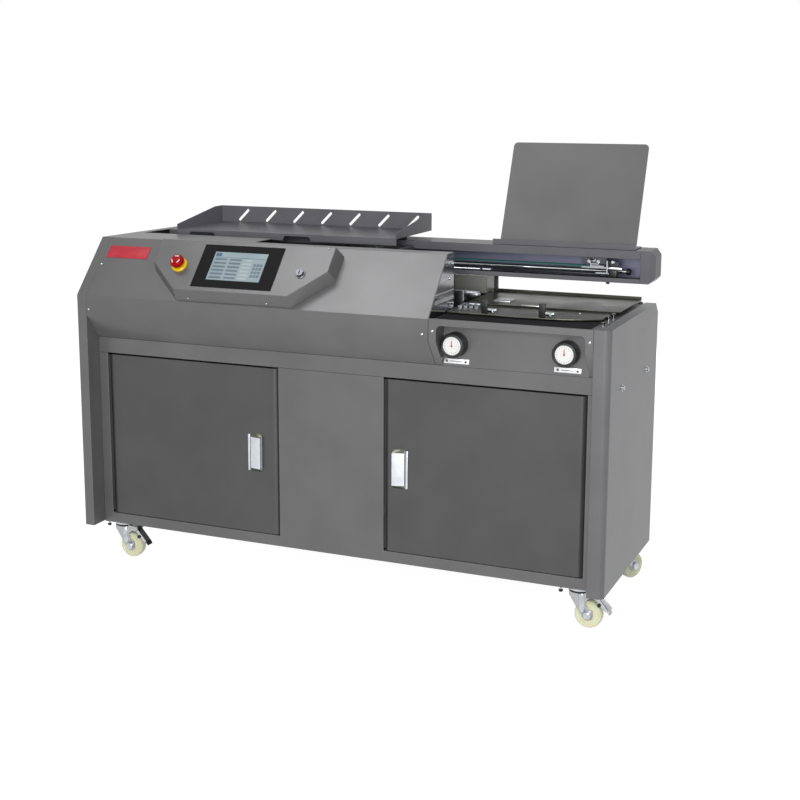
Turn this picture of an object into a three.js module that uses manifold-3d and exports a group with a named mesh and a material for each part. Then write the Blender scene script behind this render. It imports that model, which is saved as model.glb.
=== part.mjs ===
import * as THREE from 'three';
import { mergeVertices } from 'three/addons/utils/BufferGeometryUtils.js';
import Module from 'manifold-3d';

const wasm = await Module();
wasm.setup();

// A floor-standing machine that glues book spines: a steel cabinet on four castors, a sloping
// front cover with a control box, a hollow beam along the back that carries the book clamp, and
// a cover table at the right end. Millimetres, +X to the operator's right, -Y to the operator,
// +Z up, origin on the floor under the middle.

// Overall sizes
const length = 1560;
const depth = 620;
const beamTop = 960;

// Clearances and sheet thicknesses
const seat = 0.3;
const seam = 0.8;
const overrun = 5;
const sheet = 3;
const trayWall = 2;

// Side panels
const panelDepth = 523;
const panelLift = 2;
const panelRim = 30;
const frontSetback = 20;
const postWidth = 43;
const postRadius = 18;
const rearBulge = 36;
const bulgeHeight = 180;
const bulgeTaper = 35;
const rightCorner = 28;

// Front outline shared by the cover, the right front frame and the housing wall
const groundClearance = 124;
const cabinetInset = 56;
const chamferHeight = 70;
const baseReach = 40;
const skirtHeight = 59;
const slopeRise = 153;
const slopeRun = 137;
const deckLift = 6;
const tableLift = 2;
const tableLength = 435;
const deckDepth = 153;
const deckLip = 50;
const clampBay = 603;

// Cabinet front
const stileWidth = 30;
const rightStileWidth = 25;
const centreWidth = 317.3;
const railHeight = 31;
const topRailHeight = 45.5;
const railFlange = 30;
const shelfLip = 24;
const bedThickness = 12;
const bedInset = 8;

// Doors and handles
const doorGap = 2;
const doorTopGap = 4.5;
const doorThickness = 20;
const doorRadius = 16;
const hingePin = 5;
const handleWidth = 43;
const handleHeight = 109;
const handleReach = 13;
const handleFoot = 10;
const handleWall = 2.5;
const handleEdge = 3;
const handleBand = 7.3;
const handleRise = 233;
const leftHandleInset = 74.3;
const rightHandleInset = 50;

// Knob pocket and knobs
const pocketLeg = 21.2;
const pocketDrop = 18;
const pocketRadius = 13;
const knobRecess = 54;
const knobSpread = 149;
const knobOffset = 10;
const knobDrop = 71;
const knobRadius = 33;
const knobReach = 34;
const knobRibs = 24;
const knobRibDepth = 1.6;
const knobShaft = 6;
const knobShaftReach = 30;
const dialRadius = 24;
const dialThickness = 3;
const labelWidth = 70;
const labelHeight = 12.5;
const labelThickness = 0.8;
const labelDrop = 46;

// Table
const tableFlange = 6;
const floorDrop = 8;
const tableEdgeGap = 2;
const arcThickness = 4;
const recessDepth = 122;
const arcDepth = 168;
const arcWidth = 409;
const arcBow = 46;
const arcShares = [
  [0, 0.22], [0.18, 0.09], [0.36, 0.03], [0.5, 0], [0.63, 0], [0.75, 0.09], [0.82, 0.24], [0.88, 0.41], [0.94, 0.65], [1, 1],
];
const runnerSpread = 236;
const runnerWidth = 30;
const runnerInset = 60;
const runnerSetback = 70;
const nipOverlap = 20;
const nipDepth = 245;
const nipThickness = 4;
const nipFlangeHeight = 8;
const nipFlangeDepth = 6;
const nipRunnerInset = 80;
const stopPadWidth = 24;
const stopPadHeight = 13;
const stopPostWidth = 17;
const stopPostHeight = 34;
const stopDepth = 12;
const stopRun = 112;
const stopSpread = 156;
const stopSetback = 18;

// Housing wall, beam and drive
const wallFrontDepth = 187;
const columnWidth = 100;
const beamSetback = 456;
const beamDepth = 100;
const beamHeight = 90;
const beamLipTop = 23;
const beamLipBottom = 12.5;
const capLength = 39;
const capChamfer = 15;
const shaftRadius = 6;
const shaftInset = 44;
const shaftLift = 26;
const shaftEndGap = 44;
const rodRadius = 5;
const rodInset = 24;
const rodLift = 13.5;
const rodReach = 66;
const rodLength = 300;
const pulleyDrop = 31;
const pulleyRadius = 16;
const beltWidth = 18;
const beltThickness = 2.5;
const pulleyFlange = 1.6;
const drivePulleyInset = 50;
const idlerInset = 131;
const bracketLength = 70;
const bracketPlate = 4;
const spindleRadius = 5;
const bracketGap = 2;
const endBlockSize = 26;

// Book clamp
const jawLength = 300;
const jawInset = 62;
const jawLift = 20;
const jawTopDrop = 18;
const jawThickness = 16;
const rearJawGap = 160;
const clampGap = 62;
const jawRodRadius = 7;
const jawRodInset = 50;
const jawRodOverhang = 12;
const armX = 20;
const armLength = 120;
const armTopDrop = 22;
const liftGap = 10;
const sliderDepth = 62;

// Tray
const trayInset = 139;
const trayLength = 717;
const trayOverlap = 130;
const trayLift = 16;
const trayHeight = 52;
const trayFrontHeight = 16;
const trayFlat = 46;
const flangeDrop = 18;
const notchWidth = 88;
const notchHeight = 13;
const notchRadius = 9;
const leftNotchInset = 42;
const notchSpread = 317;
const slotCount = 7;
const slotPitch = 96.3;
const slotLength = 50;
const slotWidth = 8;
const slotLift = 24;
const slotShift = 10.5;
const trayFootWidth = 40;
const trayFootInset = 60;

// Copy stand
const standInset = 57;
const standWidth = 391;
const standLength = 300;
const standThickness = 3;
const standRadius = 12;
const standTilt = 22.5;
const ledgeSetback = 10;
const ledgeOverhang = 18;
const ledgeLip = 12;
const ledgeChannel = 12;
const ledgeDepth = 78;
const gussetHeight = 70;

// Control box, measured on the slope: width, run up the slope, rise square to it
const boxInset = 508.5;
const boxRise = 40;
const boxFlare = 11;
const boxBottomHalf = 175;
const boxSideHalf = 271.5;
const boxSideRun = 103;
const boxTopRun = 181;
const boxWall = 3;
const bezelHalf = 124;
const bezelLow = 28;
const bezelHigh = 168;
const bezelThickness = 2;
const screenOffset = 2;
const screenWidth = 165;
const screenLow = 52;
const screenHigh = 146;
const screenThickness = 1.2;
const buttonOffset = 182;
const buttonRun = 94;
const keyOffset = 194;
const keyRun = 89;
const collarRadius = 23;
const collarHeight = 8;
const stemRadius = 11;
const capRadius = 20;
const capHeight = 16;
const capShares = [[0.8, 0], [1, 0.35], [0.94, 0.8], [0.75, 1]];
const buttonTravelGap = 5;
const keyRadius = 11;
const keyHeight = 9;
const keySlot = 2;

// Glue tank, roller and milling cutter inside the housing
const tankInset = 400;
const tankLength = 150;
const tankWidth = 190;
const tankHeight = 92;
const tankWall = 5;
const rollerRadius = 32;
const rollerWidth = 150;
const rollerSink = 3;
const journalRadius = 7;
const journalGap = 0.5;
const cutterInset = 600;
const cutterShift = 10;
const cutterRadius = 62;
const cutterThickness = 10;
const cutterDrop = 11;
const cutterShaft = 22;
const cutterTeeth = 16;
const toothWidth = 8;

// Castors
const wheelRadius = 37.5;
const wheelWidth = 26;
const wheelBore = 6;
const treadShares = [[0.72, -1], [0.92, -0.86], [1, -0.45], [1, 0.45], [0.92, 0.86], [0.72, 1]];
const castorTrail = 27;
const leftCastorInset = 53;
const rightCastorInset = 94;
const rearRightCastorInset = 72;
const frontCastorSetback = 128;
const rearCastorInset = 35;
const rearCastorTurn = 60;
const castorPlate = 3;
const plateRadius = 33;
const racewayRadius = 27;
const racewayHeight = 20;
const forkShoulder = 12;
const forkWall = 3;
const forkGap = 2;
const forkHalfLow = 13;
const forkHalfHigh = 24;
const forkEar = 52;
const axleRadius = 5.5;
const axleHead = 9;
const axleHeadHeight = 4;
const pedalWidth = 24;
const pedalThickness = 4;
const pedalRun = 38;
const pedalDrop = 44;
const pedalHinge = 4;
const pedalHingeX = 45;
const pedalHingeDrop = 32;

// Power inlet
const inletInset = 140;
const inletLift = 86;
const inletWidth = 48;
const inletHeight = 28;
const inletDepth = 14;
const inletWall = 3;
const pinWidth = 4;
const pinReach = 8;

// Places along the machine that follow from the sizes above
const halfLength = length / 2;
const insideX = halfLength - panelRim;
const skinX = halfLength - sheet;
const postLeft = halfLength - postWidth;
const coverEnd = postLeft - tableLength;
const frameLeft = coverEnd + seam;
const frameRight = postLeft - seat;
const leftStileEdge = stileWidth - insideX;
const rightStileEdge = postLeft - rightStileWidth;
const doorwayWidth = (rightStileEdge - leftStileEdge - centreWidth) / 2;
const centreLeft = leftStileEdge + doorwayWidth;
const centreRight = rightStileEdge - doorwayWidth;
const leftHandleX = centreLeft - leftHandleInset;
const rightHandleX = centreRight + rightHandleInset;
const pocketLeft = frameLeft + pocketLeg;
const pocketRight = frameRight - pocketLeg + seat;
const knobMiddle = (pocketLeft + pocketRight) / 2 - knobOffset;
const capX = halfLength - capLength;
const shaftEnd = capX - shaftEndGap;
const drivePulleyX = drivePulleyInset - insideX;
const idlerX = capX - idlerInset;
const jawX = coverEnd - jawLength - jawInset;
const trayLeft = trayInset - halfLength;
const standRight = halfLength - standInset;
const standLeft = standRight - standWidth;
const ledgeLeft = standLeft - ledgeOverhang;
const boxMiddle = boxInset - halfLength;
const tankX = tankInset - halfLength;
const cutterX = cutterInset - halfLength;
const inletX = inletInset - halfLength;
const leftCastorX = leftCastorInset - halfLength;
const rightCastorX = halfLength - rightCastorInset;
const rearRightCastorX = halfLength - rearRightCastorInset;

// Places from front to back
const halfDepth = depth / 2;
const frontY = -halfDepth + frontSetback;
const cabinetY = frontY + cabinetInset;
const panelRear = frontY + panelDepth;
const baseRear = panelRear + baseReach;
const frameBack = cabinetY + sheet;
const rearRim = panelRear - sheet;
const slopeTopY = frontY + slopeRun;
const beamFrontY = frontY + beamSetback;
const beamRear = beamFrontY + beamDepth;
const openingFrontY = frontY + wallFrontDepth;
const knobPlateY = frontY + knobRecess;
const knobFaceY = knobPlateY - seat;
const arcFrontY = frontY + recessDepth;
const arcRearY = arcFrontY + arcDepth;
const nipFrontY = arcRearY - nipOverlap;
const nipRearY = nipFrontY + nipDepth;
const shaftY = beamFrontY + shaftInset;
const rodY = beamFrontY + rodInset;
const rearJawY = beamFrontY - rearJawGap;
const sliderRear = beamFrontY + sliderDepth;
const trayFrontY = beamFrontY - trayOverlap;
const ledgeFrontY = beamFrontY + ledgeSetback;
const standFootY = ledgeFrontY + ledgeChannel;
const workY = arcRearY;
const frontCastorY = frontY + frontCastorSetback;
const rearCastorY = baseRear - rearCastorInset;

// Heights
const slopeTop = beamTop + deckLift;
const slopeBottom = slopeTop - slopeRise;
const tableTop = slopeBottom + tableLift;
const skirtBottom = slopeBottom - skirtHeight;
const coverBottom = skirtBottom - chamferHeight;
const topRailBottom = coverBottom - topRailHeight;
const railBottom = groundClearance;
const panelBottom = groundClearance + panelLift;
const panHeight = sheet + shelfLip;
const railTop = railBottom + railHeight;
const bulgeBottom = beamTop - bulgeHeight;
const bedBottom = coverBottom + seat;
const bedTop = bedBottom + bedThickness;
const beamBottom = beamTop - beamHeight;
const pocketTop = tableTop - pocketDrop;
const floorTop = tableTop - floorDrop;
const doorBottom = railTop + doorGap;
const doorTop = topRailBottom - doorTopGap;
const knobHeight = tableTop - knobDrop;
const handleCentre = doorBottom + handleRise;
const shaftZ = beamBottom + shaftLift;
const rodZ = beamBottom + rodLift;
const pulleyZ = beamTop - pulleyDrop;
const jawBottom = tableTop + jawLift;
const jawTop = slopeTop - jawTopDrop;
const armTop = pulleyZ - armTopDrop;
const armBottom = rodZ + rodRadius + seat;
const trayFloor = beamTop + trayLift;
const cutterTop = jawBottom - cutterDrop;
const swivelZ = railBottom - seat;
const pedalHingeZ = swivelZ - pedalHingeDrop;
const inletZ = railBottom + inletLift;

const slopeAngle = Math.atan2(slopeRise, slopeRun);
const slopeLength = Math.hypot(slopeRise, slopeRun);

// Materials
const paint = (color, roughness = 0.5, metalness = 0.35) =>
  new THREE.MeshStandardMaterial({ color, roughness, metalness });
const greyPaint = () => paint(0x6b6b6d);
const darkPaint = () => paint(0x4e4e50);
const lightPaint = () => paint(0x858588);
const satinSteel = () => paint(0x9a9a98, 0.32, 0.9);
const brightSteel = () => paint(0xd4d6d8, 0.15, 1);
const blackPlastic = () => paint(0x161617, 0.5, 0);
const creamWheel = () => paint(0xd8dcb8, 0.45, 0);

// Solids
function solidOf(geometry) {
  geometry.deleteAttribute('normal');
  geometry.deleteAttribute('uv');
  const merged = mergeVertices(geometry, seat / 1000);
  const index = merged.index.array;
  const triangles = [];
  for (let i = 0; i < index.length; i += 3) {
    const [a, b, c] = [index[i], index[i + 1], index[i + 2]];
    if (a !== b && b !== c && c !== a) triangles.push(a, b, c);
  }
  return new wasm.Manifold(new wasm.Mesh({
    numProp: 3,
    vertProperties: new Float32Array(merged.attributes.position.array),
    triVerts: new Uint32Array(triangles),
  }));
}

function geometryOf(solid) {
  const mesh = solid.getMesh();
  const geometry = new THREE.BufferGeometry();
  geometry.setAttribute('position', new THREE.BufferAttribute(mesh.vertProperties, 3));
  geometry.setIndex(new THREE.BufferAttribute(mesh.triVerts, 1));
  geometry.computeVertexNormals();
  return geometry;
}

function box(x0, x1, y0, y1, z0, z1) {
  const geometry = new THREE.BoxGeometry(x1 - x0, y1 - y0, z1 - z0);
  geometry.translate((x0 + x1) / 2, (y0 + y1) / 2, (z0 + z1) / 2);
  return solidOf(geometry);
}

function rod(axis, radius, from, to, u, v, segments = 24) {
  const geometry = new THREE.CylinderGeometry(radius, radius, to - from, segments);
  const middle = (from + to) / 2;
  if (axis === 'x') geometry.rotateZ(Math.PI / 2).translate(middle, u, v);
  if (axis === 'y') geometry.translate(u, middle, v);
  if (axis === 'z') geometry.rotateX(Math.PI / 2).translate(u, v, middle);
  return solidOf(geometry);
}

function outline(points) {
  const area = points.reduce((sum, [x, y], i) => {
    const [nx, ny] = points[(i + 1) % points.length];
    return sum + x * ny - nx * y;
  }, 0);
  return area > 0 ? points : [...points].reverse();
}

function shapeOf(points) {
  return new THREE.Shape(outline(points).map(([x, y]) => new THREE.Vector2(x, y)));
}

// An outline in Y and Z drawn along X, one in X and Z drawn along Y, one in X and Y drawn up Z
function alongX(points, x0, x1) {
  const geometry = new THREE.ExtrudeGeometry(shapeOf(points), { depth: x1 - x0, bevelEnabled: false });
  geometry.rotateX(Math.PI / 2).rotateZ(Math.PI / 2).translate(x0, 0, 0);
  return solidOf(geometry);
}

function alongY(points, y0, y1) {
  const geometry = new THREE.ExtrudeGeometry(shapeOf(points), { depth: y1 - y0, bevelEnabled: false });
  geometry.rotateX(Math.PI / 2).translate(0, y1, 0);
  return solidOf(geometry);
}

function upZ(points, z0, z1) {
  const geometry = new THREE.ExtrudeGeometry(shapeOf(points), { depth: z1 - z0, bevelEnabled: false });
  geometry.translate(0, 0, z0);
  return solidOf(geometry);
}

const join = (first, ...rest) => rest.reduce((sum, part) => sum.add(part), first);
const cut = (first, ...tools) => tools.reduce((left, tool) => left.subtract(tool), first);

// An outline moved inwards by a wall thickness, corner by corner
function inset(points, wall) {
  const ring = outline(points);
  const count = ring.length;
  const edges = ring.map(([x, y], i) => {
    const [nx, ny] = ring[(i + 1) % count];
    const size = Math.hypot(nx - x, ny - y);
    return { x, y, ux: (nx - x) / size, uy: (ny - y) / size };
  });
  return edges.map((edge, i) => {
    const before = edges[(i + count - 1) % count];
    const sine = before.ux * edge.uy - before.uy * edge.ux;
    const cosine = before.ux * edge.ux + before.uy * edge.uy;
    const along = sine === 0 ? 0 : wall * (1 - cosine) / sine;
    return [
      edge.x - edge.uy * wall + edge.ux * along,
      edge.y + edge.ux * wall + edge.uy * along,
    ];
  });
}

// The section of a sheet folded along an open line of points, its thickness on the right-hand side
function foldedSheet(points, wall) {
  const edges = points.slice(1).map(([nx, ny], i) => {
    const [x, y] = points[i];
    const size = Math.hypot(nx - x, ny - y);
    return { ux: (nx - x) / size, uy: (ny - y) / size };
  });
  const inner = points.map(([x, y], i) => {
    const after = edges[Math.min(i, edges.length - 1)];
    const before = edges[Math.max(i - 1, 0)];
    const cosine = before.ux * after.ux + before.uy * after.uy;
    const sine = before.ux * after.uy - before.uy * after.ux;
    const along = sine === 0 ? 0 : wall * (1 - cosine) / sine;
    return [x + after.uy * wall - after.ux * along, y - after.ux * wall - after.uy * along];
  });
  return [...points, ...inner.reverse()];
}

function arcPoints(x, y, radius, fromDegrees, toDegrees, steps = 5) {
  return Array.from({ length: steps + 1 }, (_, i) => {
    const angle = THREE.MathUtils.degToRad(fromDegrees + (toDegrees - fromDegrees) * i / steps);
    return [x + radius * Math.cos(angle), y + radius * Math.sin(angle)];
  });
}

function roundedRectangle(x0, x1, y0, y1, radius) {
  return [
    ...arcPoints(x0 + radius, y0 + radius, radius, 180, 270),
    ...arcPoints(x1 - radius, y0 + radius, radius, 270, 360),
    ...arcPoints(x1 - radius, y1 - radius, radius, 0, 90),
    ...arcPoints(x0 + radius, y1 - radius, radius, 90, 180),
  ];
}

const machine = new THREE.Group();

function piece(name, solid, material, x = 0, y = 0, z = 0, parent = machine) {
  const mesh = new THREE.Mesh(geometryOf(solid), material);
  mesh.name = name;
  mesh.position.set(x, y, z);
  parent.add(mesh);
  return mesh;
}

function group(x, y, z, parent = machine) {
  const result = new THREE.Group();
  result.position.set(x, y, z);
  parent.add(result);
  return result;
}

// Side panels: folded sheet trays, open towards the machine, with a boxed front post
function leftSidePanel() {
  const bulgeRear = panelRear + rearBulge;
  const profile = [
    [frontY, panelBottom],
    [panelRear, panelBottom],
    [panelRear, bulgeBottom - bulgeTaper],
    [bulgeRear, bulgeBottom],
    [bulgeRear, beamTop],
    [slopeTopY, slopeTop],
    [frontY, slopeBottom],
  ];
  const pocket = alongX(inset(profile, sheet), sheet, panelRim + overrun);
  const post = alongX(profile, 0, panelRim);
  const front = post.intersect(box(0, panelRim, frontY, frameBack, 0, beamTop));
  piece('left_side_panel', join(cut(post, pocket), front), greyPaint(), -halfLength);
}

function rightSidePanel() {
  const profile = [
    [frontY, panelBottom],
    [panelRear, panelBottom],
    [panelRear, tableTop - rightCorner],
    [panelRear - rightCorner, tableTop],
    [frontY, tableTop],
  ];
  const body = alongX(profile, -panelRim, 0);
  const pocket = alongX(inset(profile, sheet), -panelRim - overrun, -sheet);
  const plan = [
    [-postWidth, frontY],
    ...arcPoints(-postRadius, frontY + postRadius, postRadius, 270, 360),
    [0, frameBack],
    [-postWidth, frameBack],
  ];
  const post = upZ(plan, panelBottom, tableTop);
  const corner = box(-panelRim - overrun, overrun, frontY - overrun, frameBack, 0, beamTop);
  piece('right_side_panel', join(cut(body, pocket, corner), post), lightPaint(), halfLength);
}

function rearPanel() {
  const right = insideX - seat;
  const wallTop = tableTop - sheet;
  const wallBottom = railBottom + panHeight + seat;
  const points = [
    [seat - insideX, wallBottom],
    [right, wallBottom],
    [right, tableTop - rightCorner - overrun],
    [postLeft - seat, wallTop],
    [frameLeft, wallTop],
    [frameLeft, bulgeBottom - seat],
    [seat - insideX, bulgeBottom - seat],
  ];
  const vent = box(-inletWidth / 2, inletWidth / 2, rearRim - overrun, panelRear + overrun,
    -inletHeight / 2, inletHeight / 2).translate([inletX, 0, inletZ]);
  const wall = cut(alongY(points, rearRim, panelRear), vent);
  piece('rear_panel', wall, greyPaint());
}

// Cabinet bottom, which runs on behind the rear panel, front frame and the bed that carries the works
function basePan() {
  const edge = insideX - seat;
  const front = frameBack + seat;
  const pan = box(-edge, edge, front, baseRear, 0, panHeight);
  const inner = box(sheet - edge, edge - sheet, front + sheet, baseRear - sheet, sheet, panHeight + overrun);
  piece('base_pan', cut(pan, inner), darkPaint(), 0, 0, railBottom);
}

function frontFrame() {
  const left = seat - insideX;
  const right = postLeft - seat;
  const top = topRailBottom - seat;
  const wall = box(left, right, cabinetY, frameBack, railBottom, top);
  const leftDoorway = box(leftStileEdge, centreLeft, cabinetY - overrun, frameBack + overrun, railTop, top + overrun);
  const rightDoorway = box(centreRight, rightStileEdge, cabinetY - overrun, frameBack + overrun, railTop, top + overrun);
  const flange = box(left, right, cabinetY, cabinetY + doorRadius * 2 - sheet, railTop - sheet, railTop);
  const standing = join(cut(wall, leftDoorway, rightDoorway), flange);
  piece('front_frame', standing, greyPaint());
}

function topRail() {
  const left = seat - insideX;
  const right = postLeft - seat;
  const top = coverBottom - seat;
  const points = [
    [cabinetY, topRailBottom],
    [frameBack, topRailBottom],
    [frameBack, top - sheet],
    [cabinetY + railFlange, top - sheet],
    [cabinetY + railFlange, top],
    [cabinetY, top],
  ];
  piece('top_rail', alongX(points, left, right), greyPaint());
}

function machineBed() {
  const edge = skinX - seat;
  const plate = box(-edge, edge, cabinetY + bedInset, rearRim - bedInset, 0, bedThickness);
  piece('machine_bed', plate, darkPaint(), 0, 0, bedBottom);
}

// Front cover, right front frame and knob plate
function coverOutline(deckRear) {
  return [
    [cabinetY, coverBottom],
    [frontY, skirtBottom],
    [frontY, slopeBottom],
    [slopeTopY, slopeTop],
    [deckRear, slopeTop],
  ];
}

function frontCover() {
  const deckRear = slopeTopY + deckDepth;
  const section = foldedSheet(coverOutline(deckRear), sheet);
  const cover = alongX(section, seat - insideX, coverEnd);
  const bayFront = slopeTopY + deckLip;
  const bay = box(coverEnd - clampBay, coverEnd + overrun, bayFront, halfDepth, slopeTop - sheet * 2, slopeTop + overrun);
  piece('front_cover', cut(cover, bay), greyPaint());
}

function pocketOutline(grow) {
  const left = pocketLeft - grow;
  const right = pocketRight + grow;
  const radius = pocketRadius + grow;
  const top = pocketTop + grow;
  return [
    [left, coverBottom - overrun],
    [right, coverBottom - overrun],
    ...arcPoints(right - radius, top - radius, radius, 0, 90),
    ...arcPoints(left + radius, top - radius, radius, 90, 180),
  ];
}

function rightFrontFrame() {
  const line = [
    [cabinetY, coverBottom],
    [frontY, skirtBottom],
    [frontY, tableTop],
    [frontY + tableFlange, tableTop],
  ];
  const filled = [...line.slice(0, 3), [frameBack, tableTop], [frameBack, coverBottom]];
  const shell = alongX(foldedSheet(line, sheet), frameLeft, frameRight);
  const walls = alongX(filled, frameLeft, frameRight).intersect(
    alongY(pocketOutline(sheet), frontY, frameBack));
  const floor = box(frameLeft, frameRight, frontY, rearRim - seat, floorTop - sheet, floorTop);
  const pocket = alongY(pocketOutline(0), frontY - overrun, frameBack + overrun);
  piece('right_front_frame', cut(join(shell, walls, floor), pocket), greyPaint());
}

function knobPlate() {
  const width = pocketRight - pocketLeft - seat * 2;
  const middle = (pocketLeft + pocketRight) / 2;
  const radius = pocketRadius;
  const top = pocketTop - seat;
  const points = [
    [-width / 2, bedBottom],
    [width / 2, bedBottom],
    ...arcPoints(width / 2 - radius, top - radius, radius, 0, 90),
    ...arcPoints(radius - width / 2, top - radius, radius, 90, 180),
  ];
  const holes = [-1, 1].map((side) =>
    rod('y', knobShaft + seam, -overrun, sheet + overrun, knobMiddle - middle + side * knobSpread, knobHeight));
  piece('knob_panel', cut(alongY(points, 0, sheet), ...holes), greyPaint(), middle, knobPlateY);
}

// Housing wall at the right of the clamp bay with the hollow column under the beam, and the
// cover behind the beam
function housingRightWall() {
  const rear = rearRim - seat;
  const ring = inset([...coverOutline(rear), [rear, coverBottom]], sheet + seat);
  const left = coverEnd - sheet;
  const low = bedTop + seat;
  const high = beamBottom - seat;
  const blank = alongX(ring, left, coverEnd).intersect(
    box(left - overrun, coverEnd + overrun, frontY, rear, low, beamTop + overrun));
  const column = cut(
    box(coverEnd - columnWidth, coverEnd, beamFrontY, rear, low, high),
    box(coverEnd - columnWidth + sheet, left, beamFrontY + sheet, rear + overrun, low - overrun, high - sheet));
  const opening = box(left - overrun, coverEnd + overrun, openingFrontY, halfDepth, tableTop, beamTop + overrun * 2);
  piece('housing_right_wall', join(cut(blank, opening), column), satinSteel());
}

function rearCover() {
  const back = panelRear + rearBulge + seat;
  const inner = beamRear + seat;
  const points = [
    [panelRear + seat, bulgeBottom],
    [back + sheet, bulgeBottom],
    [back + sheet, beamTop],
    [inner, beamTop],
    [inner, bulgeBottom + sheet],
    [panelRear + seat, bulgeBottom + sheet],
  ];
  piece('rear_cover', alongX(points, seat - insideX, coverEnd), greyPaint());
}

function powerInlet() {
  const halfW = inletWidth / 2 - seat;
  const halfH = inletHeight / 2 - seat;
  const flange = box(-halfW - inletWall, halfW + inletWall, seat, inletWall, -halfH - inletWall, halfH + inletWall);
  const body = box(-halfW, halfW, -inletDepth, inletWall, -halfH, halfH);
  const socket = box(inletWall - halfW, halfW - inletWall, inletWall - inletDepth, inletWall + overrun,
    inletWall - halfH, halfH - inletWall);
  const pins = [-1, 0, 1].map((side) => box(-pinWidth / 2, pinWidth / 2, -inletDepth + inletWall / 2,
    pinReach + inletWall - inletDepth, -pinWidth, pinWidth).translate([side * pinWidth * 2, 0, 0]));
  piece('power_inlet', join(cut(join(flange, body), socket), ...pins), blackPlastic(), inletX, panelRear, inletZ);
}

// Control box on the slope, with the screen, the stop button and the key switch
function controlBox() {
  const panel = group(boxMiddle, frontY, slopeBottom);
  panel.rotation.x = slopeAngle;
  const sine = Math.sin(slopeAngle);
  const cosine = Math.cos(slopeAngle);
  const lowRun = (boxRise * sine - frontSetback) / cosine;
  const face = [
    [-boxBottomHalf, lowRun],
    [boxBottomHalf, lowRun],
    [boxSideHalf, boxSideRun],
    [boxSideHalf, slopeLength * 2],
    [-boxSideHalf, slopeLength * 2],
    [-boxSideHalf, boxSideRun],
  ];
  const spread = solidOf(new THREE.ExtrudeGeometry(shapeOf(face), {
    depth: boxRise, bevelThickness: boxRise, bevelSize: boxFlare, bevelSegments: 1,
  }));
  const wide = boxSideHalf * 2;
  const slab = box(-wide, wide, -wide, boxTopRun, seat, boxRise);
  const lowered = spread.translate([0, 0, -boxRise]);
  const cavity = upZ(inset(face, boxWall), -boxRise, boxRise - boxWall).intersect(
    box(-wide, wide, -wide, boxTopRun - boxWall, -boxRise, boxRise));
  piece('control_box', cut(lowered.intersect(slab), cavity), greyPaint(), 0, 0, 0, panel);
  const face0 = boxRise + seat;
  screen(group(0, 0, face0, panel));
  stopButton(group(-buttonOffset, buttonRun, face0, panel));
  keySwitch(group(keyOffset, keyRun, face0, panel));
}

function screen(front) {
  const left = -screenWidth / 2 - screenOffset;
  const right = screenWidth / 2 - screenOffset;
  const window = box(left, right, screenLow, screenHigh, -overrun, bezelThickness + overrun);
  const plate = box(-bezelHalf, bezelHalf, bezelLow, bezelHigh, 0, bezelThickness);
  const glass = box(left + seat, right - seat, screenLow + seat, screenHigh - seat, 0, screenThickness);
  piece('screen_bezel', cut(plate, window), blackPlastic(), 0, 0, 0, front);
  piece('screen_glass', glass, paint(0xb9c4d0, 0.15, 0), 0, 0, 0, front);
}

function stopButton(front) {
  const ring = cut(rod('z', collarRadius, 0, collarHeight, 0, 0, 32), rod('z', stemRadius + seat, -overrun, collarHeight + overrun, 0, 0, 32));
  piece('estop_collar', ring, paint(0xe8c21c, 0.4, 0), 0, 0, 0, front);
  const underCap = collarHeight + buttonTravelGap;
  const profile = [
    [0, buttonTravelGap],
    [stemRadius, buttonTravelGap],
    [stemRadius, underCap],
    ...capShares.map(([out, up]) => [capRadius * out, underCap + capHeight * up]),
    [0, underCap + capHeight],
  ];
  const geometry = new THREE.LatheGeometry(profile.map(([r, h]) => new THREE.Vector2(r, h)), 28);
  geometry.rotateX(Math.PI / 2);
  piece('estop_button', solidOf(geometry), paint(0xc8141e, 0.35, 0), 0, 0, 0, front);
}

function keySwitch(front) {
  const barrel = rod('z', keyRadius, 0, keyHeight, 0, 0, 28);
  const slot = box(-keySlot / 2, keySlot / 2, -keyRadius / 2, keyRadius / 2, keyHeight / 2, keyHeight + overrun);
  piece('key_switch', cut(barrel, slot), brightSteel(), 0, 0, 0, front);
}

// Ribbed knobs with white dials, and the plates under them
function knobs() {
  const sides = [['left', -1], ['right', 1]];
  for (const [side, sign] of sides) {
    const x = knobMiddle + sign * knobSpread;
    const ribs = Array.from({ length: knobRibs * 2 }, (_, i) => {
      const angle = Math.PI * i / knobRibs;
      const radius = i % 2 ? knobRadius - knobRibDepth : knobRadius;
      return [radius * Math.cos(angle), radius * Math.sin(angle)];
    });
    const grip = alongY(ribs, -knobReach, 0);
    const shaft = rod('y', knobShaft, -overrun, knobShaftReach, 0, 0);
    piece(`knob_${side}`, join(grip, shaft), blackPlastic(), x, knobFaceY, knobHeight);
    const dial = rod('y', dialRadius, -dialThickness, 0, 0, 0, 32);
    piece(`dial_${side}`, dial, paint(0xf2f2ee, 0.3, 0), x, knobFaceY - knobReach - seat, knobHeight);
    const label = box(-labelWidth / 2, labelWidth / 2, -labelThickness, 0, -labelHeight / 2, labelHeight / 2);
    piece(`label_${side}`, label, paint(0xd8d8d6, 0.35, 0.3), x, knobFaceY, knobHeight - labelDrop);
  }
}

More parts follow.
